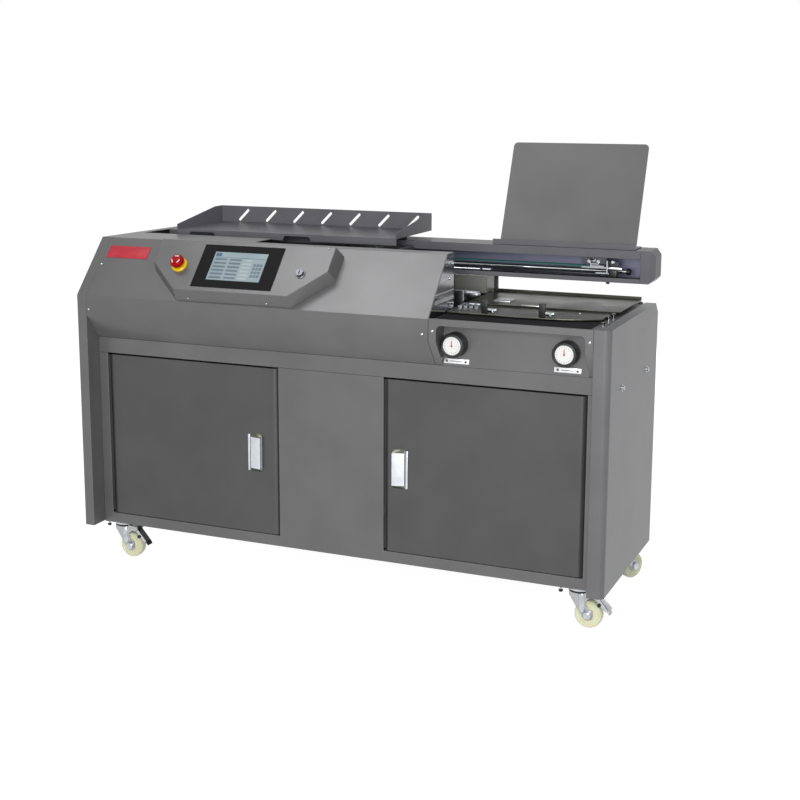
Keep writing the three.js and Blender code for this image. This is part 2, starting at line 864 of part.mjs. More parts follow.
// Cabinet doors, hinged inside their outer edges, with cup handles
function doors() {
  const width = centreLeft - leftStileEdge - doorGap * 2;
  const height = doorTop - doorBottom;
  const doorways = [['left', leftStileEdge + doorGap, 1, leftHandleX], ['right', rightStileEdge - doorGap, -1, rightHandleX]];
  for (const [side, edge, sign, handleX] of doorways) {
    const hinge = group(edge + sign * doorRadius, cabinetY + doorRadius, doorBottom);
    const near = -doorRadius;
    const far = width - doorRadius;
    const plan = [
      ...arcPoints(0, 0, doorRadius, 180, 270),
      ...arcPoints(far - doorRadius, 0, doorRadius, 270, 360),
      [far, doorThickness - doorRadius],
      [near, doorThickness - doorRadius],
    ].map(([x, y]) => [x * sign, y]);
    const leaf = upZ(plan, 0, height);
    const back = doorThickness - doorRadius;
    const hollowStart = hingePin + sheet;
    const hollowX = sign > 0 ? hollowStart : doorRadius - far;
    const hollowLength = far - doorRadius - hollowStart;
    const hollow = box(hollowX, hollowX + hollowLength, sheet - doorRadius, back + overrun, sheet, height - sheet);
    const pin = rod('z', hingePin, seat - doorGap, sheet, 0, 0);
    piece(`door_${side}`, join(cut(leaf, hollow), pin), darkPaint(), 0, 0, 0, hinge);
    piece(`handle_${side}`, handleSolid(sign), brightSteel(), handleX - edge - sign * doorRadius,
      -doorRadius - seat, handleCentre - doorBottom, hinge);
  }
}

// A low cup with slanted ends, its mouth on the side of the door's free edge
function handleSolid(sign) {
  const half = handleHeight / 2;
  const halfWide = handleWidth / 2;
  const plan = [
    [-halfWide, 0],
    [-halfWide, -handleEdge],
    [handleBand - halfWide, -handleEdge],
    [halfWide, -handleReach],
    [halfWide, 0],
  ].map(([x, y]) => [x * sign, y]);
  const side = [
    [0, -half],
    [0, half],
    [-handleReach, half - handleFoot],
    [-handleReach, handleFoot - half],
  ];
  const cup = upZ(plan, -half, half);
  const hollow = cup.translate([sign * handleBand, handleWall, 0]).intersect(
    box(-handleWidth, handleWidth, -handleReach, overrun, handleFoot - half, half - handleFoot));
  return cut(cup.intersect(alongX(side, -halfWide, halfWide)), hollow);
}

// Hollow beam, open to the front, with its end cap
function beam() {
  const points = [
    [0, 0],
    [beamDepth, 0],
    [beamDepth, beamHeight],
    [0, beamHeight],
    [0, beamHeight - beamLipTop],
    [sheet, beamHeight - beamLipTop],
    [sheet, beamHeight - sheet],
    [beamDepth - sheet, beamHeight - sheet],
    [beamDepth - sheet, sheet],
    [sheet, sheet],
    [sheet, beamLipBottom],
    [0, beamLipBottom],
  ];
  const left = seat - insideX;
  piece('beam', alongX(points, left, capX - seat), greyPaint(), 0, beamFrontY, beamBottom);
  const c = capChamfer;
  const rectangle = [[0, 0], [beamHeight, 0], [beamHeight, beamDepth], [0, beamDepth]];
  const bevelled = new THREE.ExtrudeGeometry(shapeOf(rectangle), {
    depth: capLength, bevelThickness: c, bevelSize: c, bevelOffset: -c, bevelSegments: 1,
  });
  bevelled.translate(0, 0, -c);
  const cap = solidOf(bevelled.rotateY(Math.PI / 2)).translate([0, 0, beamHeight]);
  const outer = cap.intersect(box(0, capLength, 0, beamDepth, 0, beamHeight));
  piece('beam_end_cap', outer, greyPaint(), capX, beamFrontY, beamBottom);
}

// Shafts, toothed belt, pulleys and the idler bracket inside the beam
function beltLoop(radius, from, to, y0, y1) {
  const points = [
    ...arcPoints(to, 0, radius, -90, 90, 10),
    ...arcPoints(from, 0, radius, 90, 270, 10),
  ];
  return alongY(points, y0, y1);
}

function drive() {
  const start = seat - insideX;
  const shaft = rod('x', shaftRadius, start, shaftEnd, 0, 0);
  piece('guide_shaft_upper', shaft, brightSteel(), 0, shaftY, shaftZ);
  const y0 = -beltWidth / 2;
  const y1 = beltWidth / 2;
  const clearRadius = pulleyRadius + seat;
  const loop = cut(
    beltLoop(clearRadius + beltThickness, drivePulleyX, idlerX, y0, y1),
    beltLoop(clearRadius, drivePulleyX, idlerX, y0 - overrun, y1 + overrun));
  piece('drive_belt', loop, paint(0x1d6b66, 0.6, 0), 0, rodY, pulleyZ);
  const places = [['drive_pulley', drivePulleyX], ['idler_pulley', idlerX]];
  for (const [name, x] of places) {
    const drum = rod('y', pulleyRadius, y0 - seat, y1 + seat, 0, 0, 28);
    const rims = [y0 - seat - pulleyFlange, y1 + seat].map((y) =>
      rod('y', clearRadius + beltThickness / 2, y, y + pulleyFlange, 0, 0, 28));
    const spindle = rod('y', spindleRadius, y0 - bracketPlate - bracketGap * 2, y1 + bracketPlate + bracketGap * 2, 0, 0);
    piece(name, join(drum, ...rims, spindle), satinSteel(), x, rodY, pulleyZ);
  }
  idlerBracket(y0, y1);
}

function idlerBracket(y0, y1) {
  const top = beamTop - sheet - seat - pulleyZ;
  const half = bracketLength / 2;
  const inner = y1 + seat + pulleyFlange + seat;
  const roof = box(-half, half, -inner - bracketPlate, inner + bracketPlate, top - bracketPlate, top);
  const cheeks = [-inner - bracketPlate, inner].map((y) => box(-half, half, y, y + bracketPlate, -spindleRadius * 2, top));
  const bore = rod('y', spindleRadius + seat, -inner * 2, inner * 2, 0, 0);
  const blockX = half;
  const block = box(half - overrun, blockX + endBlockSize, inner, shaftY - rodY + endBlockSize / 2,
    shaftZ - pulleyZ - endBlockSize / 2, -spindleRadius);
  const shaftBore = rod('x', shaftRadius + seat, -half, blockX + endBlockSize + overrun, shaftY - rodY, shaftZ - pulleyZ);
  piece('idler_bracket', cut(join(roof, ...cheeks, block), bore, shaftBore), blackPlastic(), idlerX, rodY, pulleyZ);
}

// Book clamp: an arm that slides on the shaft, a fixed rear jaw and a sliding front jaw
function bookClamp() {
  const clamp = group(jawX, 0, 0);
  const arm = box(0, armLength, rearJawY + jawThickness + seat, sliderRear, armBottom, armTop);
  const shaftBore = rod('x', shaftRadius + seat, -overrun, armLength + overrun, shaftY, shaftZ);
  const rodBore = rod('x', rodRadius + seat, -overrun, armLength + overrun, rodY, rodZ);
  const lift = box(0, armLength, rearJawY + jawThickness + seat, beamFrontY - liftGap, armBottom, jawTop);
  const hollow = box(sheet, armLength - sheet, rearJawY + jawThickness + seat + sheet, beamFrontY - liftGap - sheet,
    armTop, jawTop + overrun);
  piece('carriage', cut(join(arm, lift), shaftBore, rodBore, hollow), satinSteel(), armX, 0, 0, clamp);
  const rodStart = jawLength + rodReach - rodLength;
  const push = rod('x', rodRadius, rodStart, rodStart + rodLength, 0, 0);
  piece('guide_shaft_lower', push, brightSteel(), 0, rodY, rodZ, clamp);
  const height = jawTop - jawBottom;
  const rearFace = box(0, jawLength, 0, jawThickness, 0, height);
  const ends = [jawRodInset, jawLength - jawRodInset];
  const bores = ends.map((x) => rod('y', jawRodRadius + seat, -overrun, jawThickness + overrun, x, height / 4));
  piece('clamp_rear_jaw', cut(rearFace, ...bores), satinSteel(), 0, rearJawY, jawBottom, clamp);
  const frontFace = box(0, jawLength, -jawThickness, 0, 0, height);
  const rodReachY = clampGap + jawThickness + jawRodOverhang;
  const rods = ends.map((x) => rod('y', jawRodRadius, -jawThickness / 2, rodReachY, x, height / 4));
  piece('clamp_front_jaw', join(frontFace, ...rods), satinSteel(), 0, rearJawY - clampGap, jawBottom, clamp);
}

// Tray for paper and covers, on feet over the beam, a notched flange under its front edge
function tray() {
  const width = trayLength;
  const depthY = halfDepth - trayFrontY;
  const height = trayHeight;
  const side = [
    [0, 0],
    [depthY, 0],
    [depthY, height],
    [depthY - trayFlat, height],
    [0, trayFrontHeight],
  ];
  const body = alongX(side, 0, width);
  const inner = box(trayWall, width - trayWall, -overrun, depthY - trayWall, trayWall, height + overrun);
  const middle = width / 2 + slotShift;
  const slots = Array.from({ length: slotCount }, (_, i) => {
    const slot = alongY(roundedRectangle(-slotLength / 2, slotLength / 2, -slotWidth / 2, slotWidth / 2, slotWidth / 2),
      depthY - trayWall - overrun, depthY + overrun);
    return slot.rotate([0, -45, 0]).translate([middle + (i - (slotCount - 1) / 2) * slotPitch, 0, slotLift]);
  });
  const notches = [leftNotchInset, leftNotchInset + notchSpread].map((x) => alongY(
    roundedRectangle(x, x + notchWidth, notchHeight - flangeDrop - notchWidth, notchHeight - flangeDrop, notchRadius),
    -overrun, overrun));
  const flange = cut(box(0, width, 0, trayWall, -flangeDrop, trayWall), ...notches);
  const footBottom = beamTop + seat - trayFloor;
  const feet = [trayFootInset, (width - trayFootWidth) / 2, width - trayFootInset - trayFootWidth].map((x) =>
    box(x, x + trayFootWidth, beamFrontY + sheet - trayFrontY, beamRear - sheet - trayFrontY, footBottom, trayWall));
  piece('tray', join(cut(body, inner, ...slots), flange, ...feet), greyPaint(), trayLeft, trayFrontY, trayFloor);
}

// Copy stand leaning back on a folded ledge
function copyStand() {
  const tilt = THREE.MathUtils.degToRad(standTilt);
  const width = standWidth;
  const base = beamTop + seat;
  const plate = upZ(roundedRectangle(0, width, 0, standLength, standRadius), 0, standThickness);
  const board = group(standLeft, standFootY, base + sheet + seat);
  board.rotation.x = Math.PI / 2 - tilt;
  piece('stand_plate', plate.translate([0, 0, -standThickness]), greyPaint(), 0, standThickness * Math.sin(tilt), 0, board);
  const reach = ledgeDepth;
  const length0 = standRight - ledgeLeft;
  const profile = [
    [0, 0],
    [reach, 0],
    [reach, sheet],
    [sheet, sheet],
    [sheet, sheet + ledgeLip],
    [0, sheet + ledgeLip],
  ];
  const rise = gussetHeight;
  const foot = ledgeChannel + standThickness / Math.cos(tilt) + seam * 2 + standThickness;
  const gusset = [
    [foot, sheet],
    [reach, sheet],
    [foot + rise * Math.tan(tilt) + sheet * 2, rise],
    [foot + rise * Math.tan(tilt), rise],
  ];
  const gussets = [panelRim, length0 - panelRim * 2].map((x) => alongX(gusset, x, x + sheet));
  piece('stand_ledge', join(alongX(profile, 0, length0), ...gussets), greyPaint(), ledgeLeft, ledgeFrontY, base);
}

// Cover table: a front plate with a curved edge, a rear plate over it, and two stops
function table() {
  const left = coverEnd + tableEdgeGap;
  const top = tableTop;
  const runnerX = [left + runnerInset, left + runnerInset + runnerSpread];
  const plan = [
    ...arcShares.map(([along, back]) => [left + arcWidth * along, arcFrontY + arcBow * back]),
    [left + arcWidth, arcRearY],
    [left, arcRearY],
  ];
  const plate = upZ(plan, top - arcThickness, top);
  const runners = runnerX.map((x) =>
    box(x, x + runnerWidth, arcFrontY + runnerSetback, arcRearY - seat, floorTop + seat, top - arcThickness));
  piece('arc_plate', join(plate, ...runners), satinSteel());
  const nipBottom = top + seat;
  const nipTop = top + nipThickness;
  const nipRight = postLeft - tableEdgeGap;
  const rear = box(left, nipRight, nipFrontY, nipRearY, nipBottom, nipTop);
  const lip = box(left, nipRight, nipRearY - nipFlangeDepth, nipRearY, nipBottom, nipTop + nipFlangeHeight);
  const nipRunners = runnerX.map((x) =>
    box(x, x + runnerWidth, nipFrontY + nipRunnerInset, nipRearY - runnerWidth, floorTop + seat, nipBottom));
  piece('rear_nip_plate', join(rear, lip, ...nipRunners), satinSteel());
  const stops = [['left', left + stopRun], ['right', left + stopRun + stopSpread]];
  for (const [side, x] of stops) {
    const pad = box(0, stopPadWidth, 0, stopDepth, 0, stopPadHeight);
    const post = box(-stopPostWidth, 0, 0, stopDepth, 0, stopPostHeight);
    piece(`cover_stop_${side}`, join(pad, post), brightSteel(), x, arcFrontY + stopSetback - stopDepth / 2, top + seat);
  }
}

// Glue tank, glue roller and milling cutter on the bed, under the deck
function works() {
  const base = bedTop + seat;
  const half = tankLength / 2;
  const halfW = tankWidth / 2;
  const outer = box(-half, half, -halfW, halfW, 0, tankHeight);
  const inner = box(tankWall - half, half - tankWall, tankWall - halfW, halfW - tankWall, tankWall, tankHeight + overrun);
  const axleZ = tankHeight - rollerSink;
  const notch = journalRadius + journalGap;
  const seatSlot = join(
    rod('y', notch, -halfW - overrun, halfW + overrun, 0, axleZ),
    box(-notch, notch, -halfW - overrun, halfW + overrun, axleZ, tankHeight + overrun));
  piece('glue_tank', cut(outer, inner, seatSlot), darkPaint(), tankX, workY, base);
  const drum = rod('y', rollerRadius, -rollerWidth / 2, rollerWidth / 2, 0, 0, 32);
  const journal = rod('y', journalRadius, -halfW, halfW, 0, 0);
  piece('glue_roller', join(drum, journal), satinSteel(), tankX, workY, base + axleZ);
  const disc = rod('z', cutterRadius, cutterTop - cutterThickness - base, cutterTop - base, 0, 0, 32);
  const neck = rod('z', cutterShaft, 0, cutterTop - cutterThickness - base, 0, 0);
  const teeth = Array.from({ length: cutterTeeth }, (_, i) =>
    box(cutterRadius - toothWidth, cutterRadius + toothWidth / 4, -toothWidth / 2, toothWidth / 2,
      cutterTop - cutterThickness - base, cutterTop + toothWidth / 4 - base).rotate([0, 0, 360 * i / cutterTeeth]));
  piece('milling_cutter', join(disc, neck, ...teeth), satinSteel(), cutterX, workY - cutterShift, base);
}

// Swivel castors: zinc fork, cream wheel, and a brake pedal on the front pair
function castors() {
  const places = [
    ['front_left', leftCastorX, frontCastorY, 0, true],
    ['front_right', rightCastorX, frontCastorY, 0, true],
    ['rear_left', leftCastorX, rearCastorY, rearCastorTurn, false],
    ['rear_right', rearRightCastorX, rearCastorY, rearCastorTurn, false],
  ];
  for (const [where, x, y, turn, braked] of places) {
    const swivel = group(x, y, 0);
    swivel.rotation.z = THREE.MathUtils.degToRad(turn);
    piece(`caster_fork_${where}`, forkSolid(), paint(0xb8babc, 0.3, 0.9), 0, 0, 0, swivel);
    piece(`caster_wheel_${where}`, wheelSolid(), creamWheel(), castorTrail, 0, wheelRadius, swivel);
    if (braked) {
      const material = where === 'front_left' ? blackPlastic() : lightPaint();
      piece(`brake_pedal_${where}`, pedalSolid(), material, pedalHingeX, 0, pedalHingeZ, swivel);
    }
  }
}

function forkSolid() {
  const inner = wheelWidth / 2 + forkGap;
  const outer = inner + forkWall;
  const crownTop = swivelZ - castorPlate - racewayHeight;
  const top = rod('z', racewayRadius, crownTop - forkWall, swivelZ - castorPlate, 0, 0, 28);
  const plate = rod('z', plateRadius, swivelZ - castorPlate, swivelZ, 0, 0, 28);
  const side = [
    [-forkHalfHigh, crownTop],
    [-forkHalfHigh, crownTop - forkShoulder],
    [castorTrail - forkHalfLow, wheelRadius - axleHead],
    [castorTrail + forkHalfLow, wheelRadius - axleHead],
    [castorTrail + forkHalfLow, wheelRadius + axleHead],
    [castorTrail + forkHalfLow, crownTop - forkShoulder * 2],
    [forkEar, crownTop - forkShoulder],
    [forkEar, crownTop - forkWall],
    [forkHalfHigh, crownTop],
  ];
  const cheeks = [-outer, inner].map((y) => alongY(side, y, y + forkWall));
  const roof = box(-forkHalfHigh, forkHalfHigh, -outer, outer, crownTop - forkWall, crownTop);
  const axle = rod('y', axleRadius, -outer, outer, castorTrail, wheelRadius);
  const heads = [-outer - axleHeadHeight, outer].map((y) =>
    rod('y', axleHead, y, y + axleHeadHeight, castorTrail, wheelRadius, 6));
  return join(top, plate, ...cheeks, roof, axle, ...heads);
}

function wheelSolid() {
  const half = wheelWidth / 2;
  const profile = [
    [wheelBore, -half],
    ...treadShares.map(([out, along]) => [wheelRadius * out, half * along]),
    [wheelBore, half],
    [wheelBore, -half],
  ];
  return solidOf(new THREE.LatheGeometry(profile.map(([r, h]) => new THREE.Vector2(r, h)), 36));
}

function pedalSolid() {
  const half = pedalWidth / 2;
  const t = pedalThickness;
  const arm = [
    [pedalHinge / 2, t / 2],
    [pedalRun, -pedalDrop + t],
    [pedalRun + t, -pedalDrop - t],
    [pedalRun, -pedalDrop - t],
    [pedalHinge / 2, -t / 2],
  ];
  const pin = wheelWidth / 2 + forkGap - seat;
  const barrel = rod('y', pedalHinge, -pin, pin, 0, 0);
  return join(alongY(arm, -half, half), barrel);
}

leftSidePanel();
rightSidePanel();
rearPanel();
basePan();
frontFrame();
topRail();
machineBed();
frontCover();
rightFrontFrame();
knobPlate();
housingRightWall();
rearCover();
powerInlet();
controlBox();
knobs();
doors();
beam();
drive();
bookClamp();
tray();
copyStand();
table();
works();
castors();

export default machine;
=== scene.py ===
# Perfect binding machine on castors: finishes, small fittings, light and camera
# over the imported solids. Lengths are in millimetres and turned to metres by MM.
from math import atan2, cos, radians, sin

import bpy
from mathutils import Matrix, Vector


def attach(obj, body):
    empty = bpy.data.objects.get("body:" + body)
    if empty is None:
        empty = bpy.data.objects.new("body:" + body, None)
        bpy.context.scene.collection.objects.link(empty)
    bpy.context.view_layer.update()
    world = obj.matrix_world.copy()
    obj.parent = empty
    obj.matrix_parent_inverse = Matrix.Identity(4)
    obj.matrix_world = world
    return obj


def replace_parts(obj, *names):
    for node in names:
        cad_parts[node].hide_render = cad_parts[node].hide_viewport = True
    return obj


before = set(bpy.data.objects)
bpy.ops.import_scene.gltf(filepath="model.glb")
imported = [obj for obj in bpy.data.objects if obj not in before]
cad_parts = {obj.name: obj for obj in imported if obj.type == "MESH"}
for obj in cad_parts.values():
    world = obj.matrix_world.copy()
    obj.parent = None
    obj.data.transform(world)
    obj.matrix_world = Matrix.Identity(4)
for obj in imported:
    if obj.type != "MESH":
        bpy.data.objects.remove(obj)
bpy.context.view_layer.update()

scene = bpy.context.scene

MM = 0.001
MACHINE = "machine_frame"

RIGHT, BACK, FORWARD = (1, 0, 0), (0, 1, 0), (0, -1, 0)
UP, DOWN = (0, 0, 1), (0, 0, -1)

# Places on the machine that several fittings share
FRONT_Y = -290
CABINET_Y = -234
REAR_PANEL_Y = 233
REAR_COVER_Y = 272.3
RIGHT_PANEL_X = 780
DOOR_LOW, DOOR_HIGH = 164, 633
SLOPE_LOW = 813
SLOPE_RISE = 153
SLOPE_RUN = 137
BOX_MIDDLE = -271.5
BOX_FACE = 40.3
BUTTON_PLACE = (BOX_MIDDLE - 182, 94, BOX_FACE)
LOCK_PLACE = (BOX_MIDDLE + 194, 89, BOX_FACE)
TABLE_TOP = 815
BEAM_FRONT = 166
BEAM_LOW = 870
SHAFT_Y, SHAFT_Z = 210, 896
ROD_Y, ROD_Z = 190, 883.5
KNOB_FACE_Y = -236.3
KNOB_DEPTH = 34
KNOBS = {"left": (361, 744), "right": (659, 744)}
LABEL_DROP = 46
HANDLES = {"left": -236.9, "right": 204.7}
HANDLE_HEIGHT = 390
STOPS = {"left": 416, "right": 572}
STOP_Y = -150
FOOT_Y = -232.5
# Swivel axis of each castor, and its turn in degrees
CASTORS = {
    "front_left": (-727, -162, 0),
    "front_right": (686, -162, 0),
    "rear_left": (-727, 238, 60),
    "rear_right": (708, 238, 60),
}
WHEEL_TRAIL = 27
WHEEL_RADIUS = 37.5
FORK_FACE = 17.9
PEDAL_PIVOT = (45, 0, 91.7)
PEDAL_TILT = 49

SLOPE_ANGLE = atan2(SLOPE_RISE, SLOPE_RUN)
# Slope frame: X along the machine, Y up the slope, Z square to it
SLOPE = Matrix.Translation((0, FRONT_Y * MM, SLOPE_LOW * MM)) @ Matrix.Rotation(SLOPE_ANGLE, 4, "X")

# The camera, in metres and degrees, as fitted to the edges of the photograph
CAMERA_PLACE = (1.6011, -3.5910, 1.3976)
CAMERA_YAW, CAMERA_PITCH = 23.790, 10.672
CAMERA_LENS, CAMERA_SENSOR = 63.056, 36
CAMERA_SHIFT = (0.03478, -0.06109)

# Light of the surroundings on the machine, against 1 for the white that is seen
FILL_LEVEL = 0.32


def metres(point):
    """A point or size in millimetres as a vector in metres."""
    return Vector(point) * MM


# ---------------------------------------------------------------- finishes
def linear(colour):
    """An sRGB hex colour as linear red, green, blue and alpha."""
    shares = [int(colour[i:i + 2], 16) / 255 for i in (1, 3, 5)]
    return [c / 12.92 if c <= 0.04045 else ((c + 0.055) / 1.055) ** 2.4 for c in shares] + [1]


def add(tree, kind, settings=None, links=None):
    """One node, with its settings by socket or property and its links by socket."""
    made = tree.nodes.new(kind)
    for key, value in (settings or {}).items():
        if isinstance(key, str) and hasattr(made, key):
            setattr(made, key, value)
        else:
            made.inputs[key].default_value = value
    for key, source in (links or {}).items():
        tree.links.new(source, made.inputs[key])
    return made


def blank(name, **settings):
    """A material with its surface shader, and the place of each point on the piece."""
    made = bpy.data.materials.new(name)
    made.use_nodes = True
    tree = made.node_tree
    surface = tree.nodes["Principled BSDF"]
    for key, value in settings.items():
        surface.inputs[key.replace("_", " ")].default_value = value
    place = add(tree, "ShaderNodeTexCoord").outputs["Object"]
    return made, tree, surface, place


def shade_between(tree, surface, factor, dark, light, low=0.3, high=0.7):
    """Colour that drifts between two shades of one finish."""
    ramp = add(tree, "ShaderNodeValToRGB", links={"Fac": factor})
    for stop, position, colour in zip(ramp.color_ramp.elements, (low, high), (dark, light)):
        stop.position = position
        stop.color = linear(colour)
    tree.links.new(ramp.outputs["Color"], surface.inputs["Base Color"])


def rough_between(tree, surface, factor, low, high):
    """Roughness that drifts with a pattern."""
    span = add(tree, "ShaderNodeMapRange", {"To Min": low, "To Max": high}, {"Value": factor})
    tree.links.new(span.outputs["Result"], surface.inputs["Roughness"])


def relief(tree, surface, height, depth, strength):
    """Fine relief from a pattern, depth in millimetres."""
    bump = add(tree, "ShaderNodeBump", {"Strength": strength, "Distance": depth * MM}, {"Height": height})
    tree.links.new(bump.outputs["Normal"], surface.inputs["Normal"])


def per_metre(size):
    """Pattern scale for a grain of that size in millimetres."""
    return 1 / (size * MM)


def powder_coat(name, dark, light, metal=0.3, **settings):
    """Grey metallic powder coat, sprayed and baked: satin sheen with a fine orange-peel skin."""
    made, tree, surface, place = blank(name, Metallic=metal, **settings)
    # The film is a little thicker here and there: soft patches about two hands wide
    cloud = add(tree, "ShaderNodeTexNoise", {"Scale": per_metre(160), "Detail": 3}, {"Vector": place})
    shade_between(tree, surface, cloud.outputs["Fac"], dark, light)
    # Flakes of about 0.1 mm, drawn 3 mm coarse so that they show
    flake = add(tree, "ShaderNodeTexNoise", {"Scale": per_metre(3), "Detail": 2}, {"Vector": place})
    rough_between(tree, surface, flake.outputs["Fac"], 0.3, 0.38)
    # Orange peel of about 1 mm, drawn 4 mm coarse
    peel = add(tree, "ShaderNodeTexNoise", {"Scale": per_metre(4), "Detail": 2}, {"Vector": place})
    relief(tree, surface, peel.outputs["Fac"], 0.12, 0.35)
    return made


def ground_steel(name, dark, light, stretch, low_gloss=0.2, high_gloss=0.42):
    """Rolled steel sheet, ground in one direction and oiled: soft streaks along the grinding."""
    made, tree, surface, place = blank(name, Metallic=1)
    # Grinding lines of about 0.2 mm, drawn 2 mm wide and a hand long
    along = add(tree, "ShaderNodeMapping", {"Scale": stretch}, {"Vector": place}).outputs["Vector"]
    streak = add(tree, "ShaderNodeTexNoise", {"Scale": per_metre(2), "Detail": 3}, {"Vector": along})
    shade_between(tree, surface, streak.outputs["Fac"], dark, light)
    # The oil film lies in patches about a palm wide
    film = add(tree, "ShaderNodeTexNoise", {"Scale": per_metre(70), "Detail": 4}, {"Vector": place})
    rough_between(tree, surface, film.outputs["Fac"], low_gloss, high_gloss)
    relief(tree, surface, streak.outputs["Fac"], 0.03, 0.3)
    return made


def chrome(name, dark, light, low_gloss, high_gloss):
    """Bright plate or foil: from a mirror to a satin sheen, with faint finger-wide marks."""
    made, tree, surface, place = blank(name, Metallic=1)
    touch = add(tree, "ShaderNodeTexNoise", {"Scale": per_metre(18), "Detail": 4}, {"Vector": place})
    shade_between(tree, surface, touch.outputs["Fac"], dark, light)
    rough_between(tree, surface, touch.outputs["Fac"], low_gloss, high_gloss)
    return made


def zinc_plate(name):
    """Pressed steel in bright zinc: pale, slightly cloudy, with a grain of small crystals."""
    made, tree, surface, place = blank(name, Metallic=1)
    # Crystals of about 1 mm, drawn 5 mm coarse so that they show
    crystal = add(tree, "ShaderNodeTexVoronoi", {"Scale": per_metre(5)}, {"Vector": place})
    shade_between(tree, surface, crystal.outputs["Distance"], "#a6a8aa", "#b4b6b8", 0.1, 0.9)
    cloud = add(tree, "ShaderNodeTexNoise", {"Scale": per_metre(12), "Detail": 3}, {"Vector": place})
    rough_between(tree, surface, cloud.outputs["Fac"], 0.3, 0.38)
    relief(tree, surface, crystal.outputs["Distance"], 0.01, 0.1)
    return made


def moulded(name, dark, light, gloss, grain, depth, **settings):
    """A moulded plastic, rubber or enamel: even colour, a fine grain, satin to glossy."""
    made, tree, surface, place = blank(name, **settings)
    cloud = add(tree, "ShaderNodeTexNoise", {"Scale": per_metre(grain * 8), "Detail": 3}, {"Vector": place})
    shade_between(tree, surface, cloud.outputs["Fac"], dark, light)
    rough_between(tree, surface, cloud.outputs["Fac"], gloss - 0.05, gloss + 0.05)
    # The mould's grain is about 0.3 mm; it is drawn as coarse as the call says
    skin = add(tree, "ShaderNodeTexNoise", {"Scale": per_metre(grain), "Detail": 2}, {"Vector": place})
    relief(tree, surface, skin.outputs["Fac"], depth, 0.4)
    return made


def toothed_rubber(name):
    """Teal belt rubber with cast teeth: matt, with a dark line at each tooth."""
    made, tree, surface, place = blank(name)
    # Teeth 5 mm apart, drawn 8 mm apart so that they show; scale 1 gives 3.2 bands in a metre
    bands = {"Scale": per_metre(8) / 3.2, "Distortion": 0}
    teeth = add(tree, "ShaderNodeTexWave", bands, {"Vector": place})
    shade_between(tree, surface, teeth.outputs["Fac"], "#0f4a45", "#2a8378", 0.1, 0.6)
    rough_between(tree, surface, teeth.outputs["Fac"], 0.55, 0.7)
    relief(tree, surface, teeth.outputs["Fac"], 0.4, 0.5)
    return made


def lit_glass(name, dark, light):
    """Display glass over a panel that is faintly lit: pale and cool, in soft patches."""
    made, tree, surface, place = blank(name, Specular_IOR_Level=0.12, Emission_Strength=0.02)
    surface.inputs["Emission Color"].default_value = linear(light)
    cloud = add(tree, "ShaderNodeTexNoise", {"Scale": per_metre(60), "Detail": 2}, {"Vector": place})
    shade_between(tree, surface, cloud.outputs["Fac"], dark, light)
    rough_between(tree, surface, cloud.outputs["Fac"], 0.3, 0.38)
    return made


# Painted sheet: one satin grey, darker on the doors and inside; a near-black coat is painted shade on the door
# edges and table floor, and the paler column and liner coats are painted light
FRONT_COAT = powder_coat("powder_coat_grey", "#6f6f70", "#777778", 0.3, Specular_IOR_Level=0.1)
DOOR_COAT = powder_coat("powder_coat_dark_grey", "#4d4d4e", "#555556")
SHADE_COAT = powder_coat("powder_coat_painted_shade", "#3e3e40", "#464648", 0.0, Specular_IOR_Level=0.0)
SIDE_COAT = powder_coat("powder_coat_side_grey", "#6d6d70", "#757578", 0.15, Specular_IOR_Level=0.3)
BEAM_COAT = powder_coat("powder_coat_beam_grey", "#707075", "#7a7a7f", 0.0, Specular_IOR_Level=0.07)
INNER_COAT = powder_coat("powder_coat_inner_grey", "#46474c", "#505158")
COLUMN_LIGHT_COAT = powder_coat("powder_coat_column_painted_light", "#7c7c78", "#878782", 0.0)
LINER_LIGHT_COAT = powder_coat("powder_coat_liner_painted_light", "#80829a", "#8c8ea6")
# Bare steel: the table plates have an olive cast, the wall and the works are a cool grey
TABLE_STEEL = ground_steel("ground_steel_table", "#3a3a33", "#50504a", (0.02, 1, 1))
PLATE_STEEL = ground_steel("ground_steel_front_plate", "#5a5a50", "#71716a", (0.02, 1, 1))
WALL_STEEL = ground_steel("ground_steel_wall", "#7b7b80", "#a0a0a4", (1, 0.03, 1), 0.08, 0.2)
WORK_STEEL = ground_steel("ground_steel_works", "#7b7c7f", "#9b9c9f", (0.03, 1, 1))
# Plated fittings, from the mirror of the shaft, made paler than real plate as a painted highlight, to the dull
# lock
CHROME = chrome("chrome_plate", "#b0b3b8", "#cbced2", 0.06, 0.16)
HANDLE_CHROME = chrome("satin_chrome_handle", "#c9ccd1", "#d9dce1", 0.3, 0.4)
SATIN_CHROME = chrome("satin_chrome_fitting", "#8a8c90", "#a2a4a8", 0.3, 0.42)
KEY_NICKEL = chrome("satin_nickel_lock", "#6e7074", "#84868a", 0.4, 0.5)
SHAFT_CHROME = chrome("chrome_shaft_painted_highlight", "#e9eaec", "#f6f7f8", 0.05, 0.12)
ZINC = zinc_plate("bright_zinc")
# Plastics, rubber, enamel, foil and display glass
CREAM_NYLON = moulded(
    "cast_nylon_cream", "#e8ebc4", "#f4f6d6", 0.42, 2.5, 0.1,
    Subsurface_Weight=0.15, Subsurface_Scale=0.004,
)
BLACK_ABS = moulded("moulded_abs_black", "#121214", "#1b1b1e", 0.42, 2.0, 0.1)
BEZEL_BLACK = moulded("moulded_bezel_black", "#08080a", "#0e0e10", 0.6, 2.0, 0.1, Specular_IOR_Level=0.12)
BLACK_RUBBER = moulded("moulded_rubber_black", "#0f0f10", "#19191a", 0.7, 2.5, 0.15)
RED_PLASTIC = moulded("moulded_plastic_red", "#a5000e", "#ba0616", 0.4, 3.0, 0.05, Specular_IOR_Level=0.12)
YELLOW_PLASTIC = moulded("moulded_plastic_yellow", "#f0c400", "#fbd716", 0.3, 3.0, 0.05)
WHITE_ENAMEL = moulded("enamelled_dial_white", "#ededec", "#f7f7f6", 0.25, 3.0, 0.02, Coat_Weight=0.4)
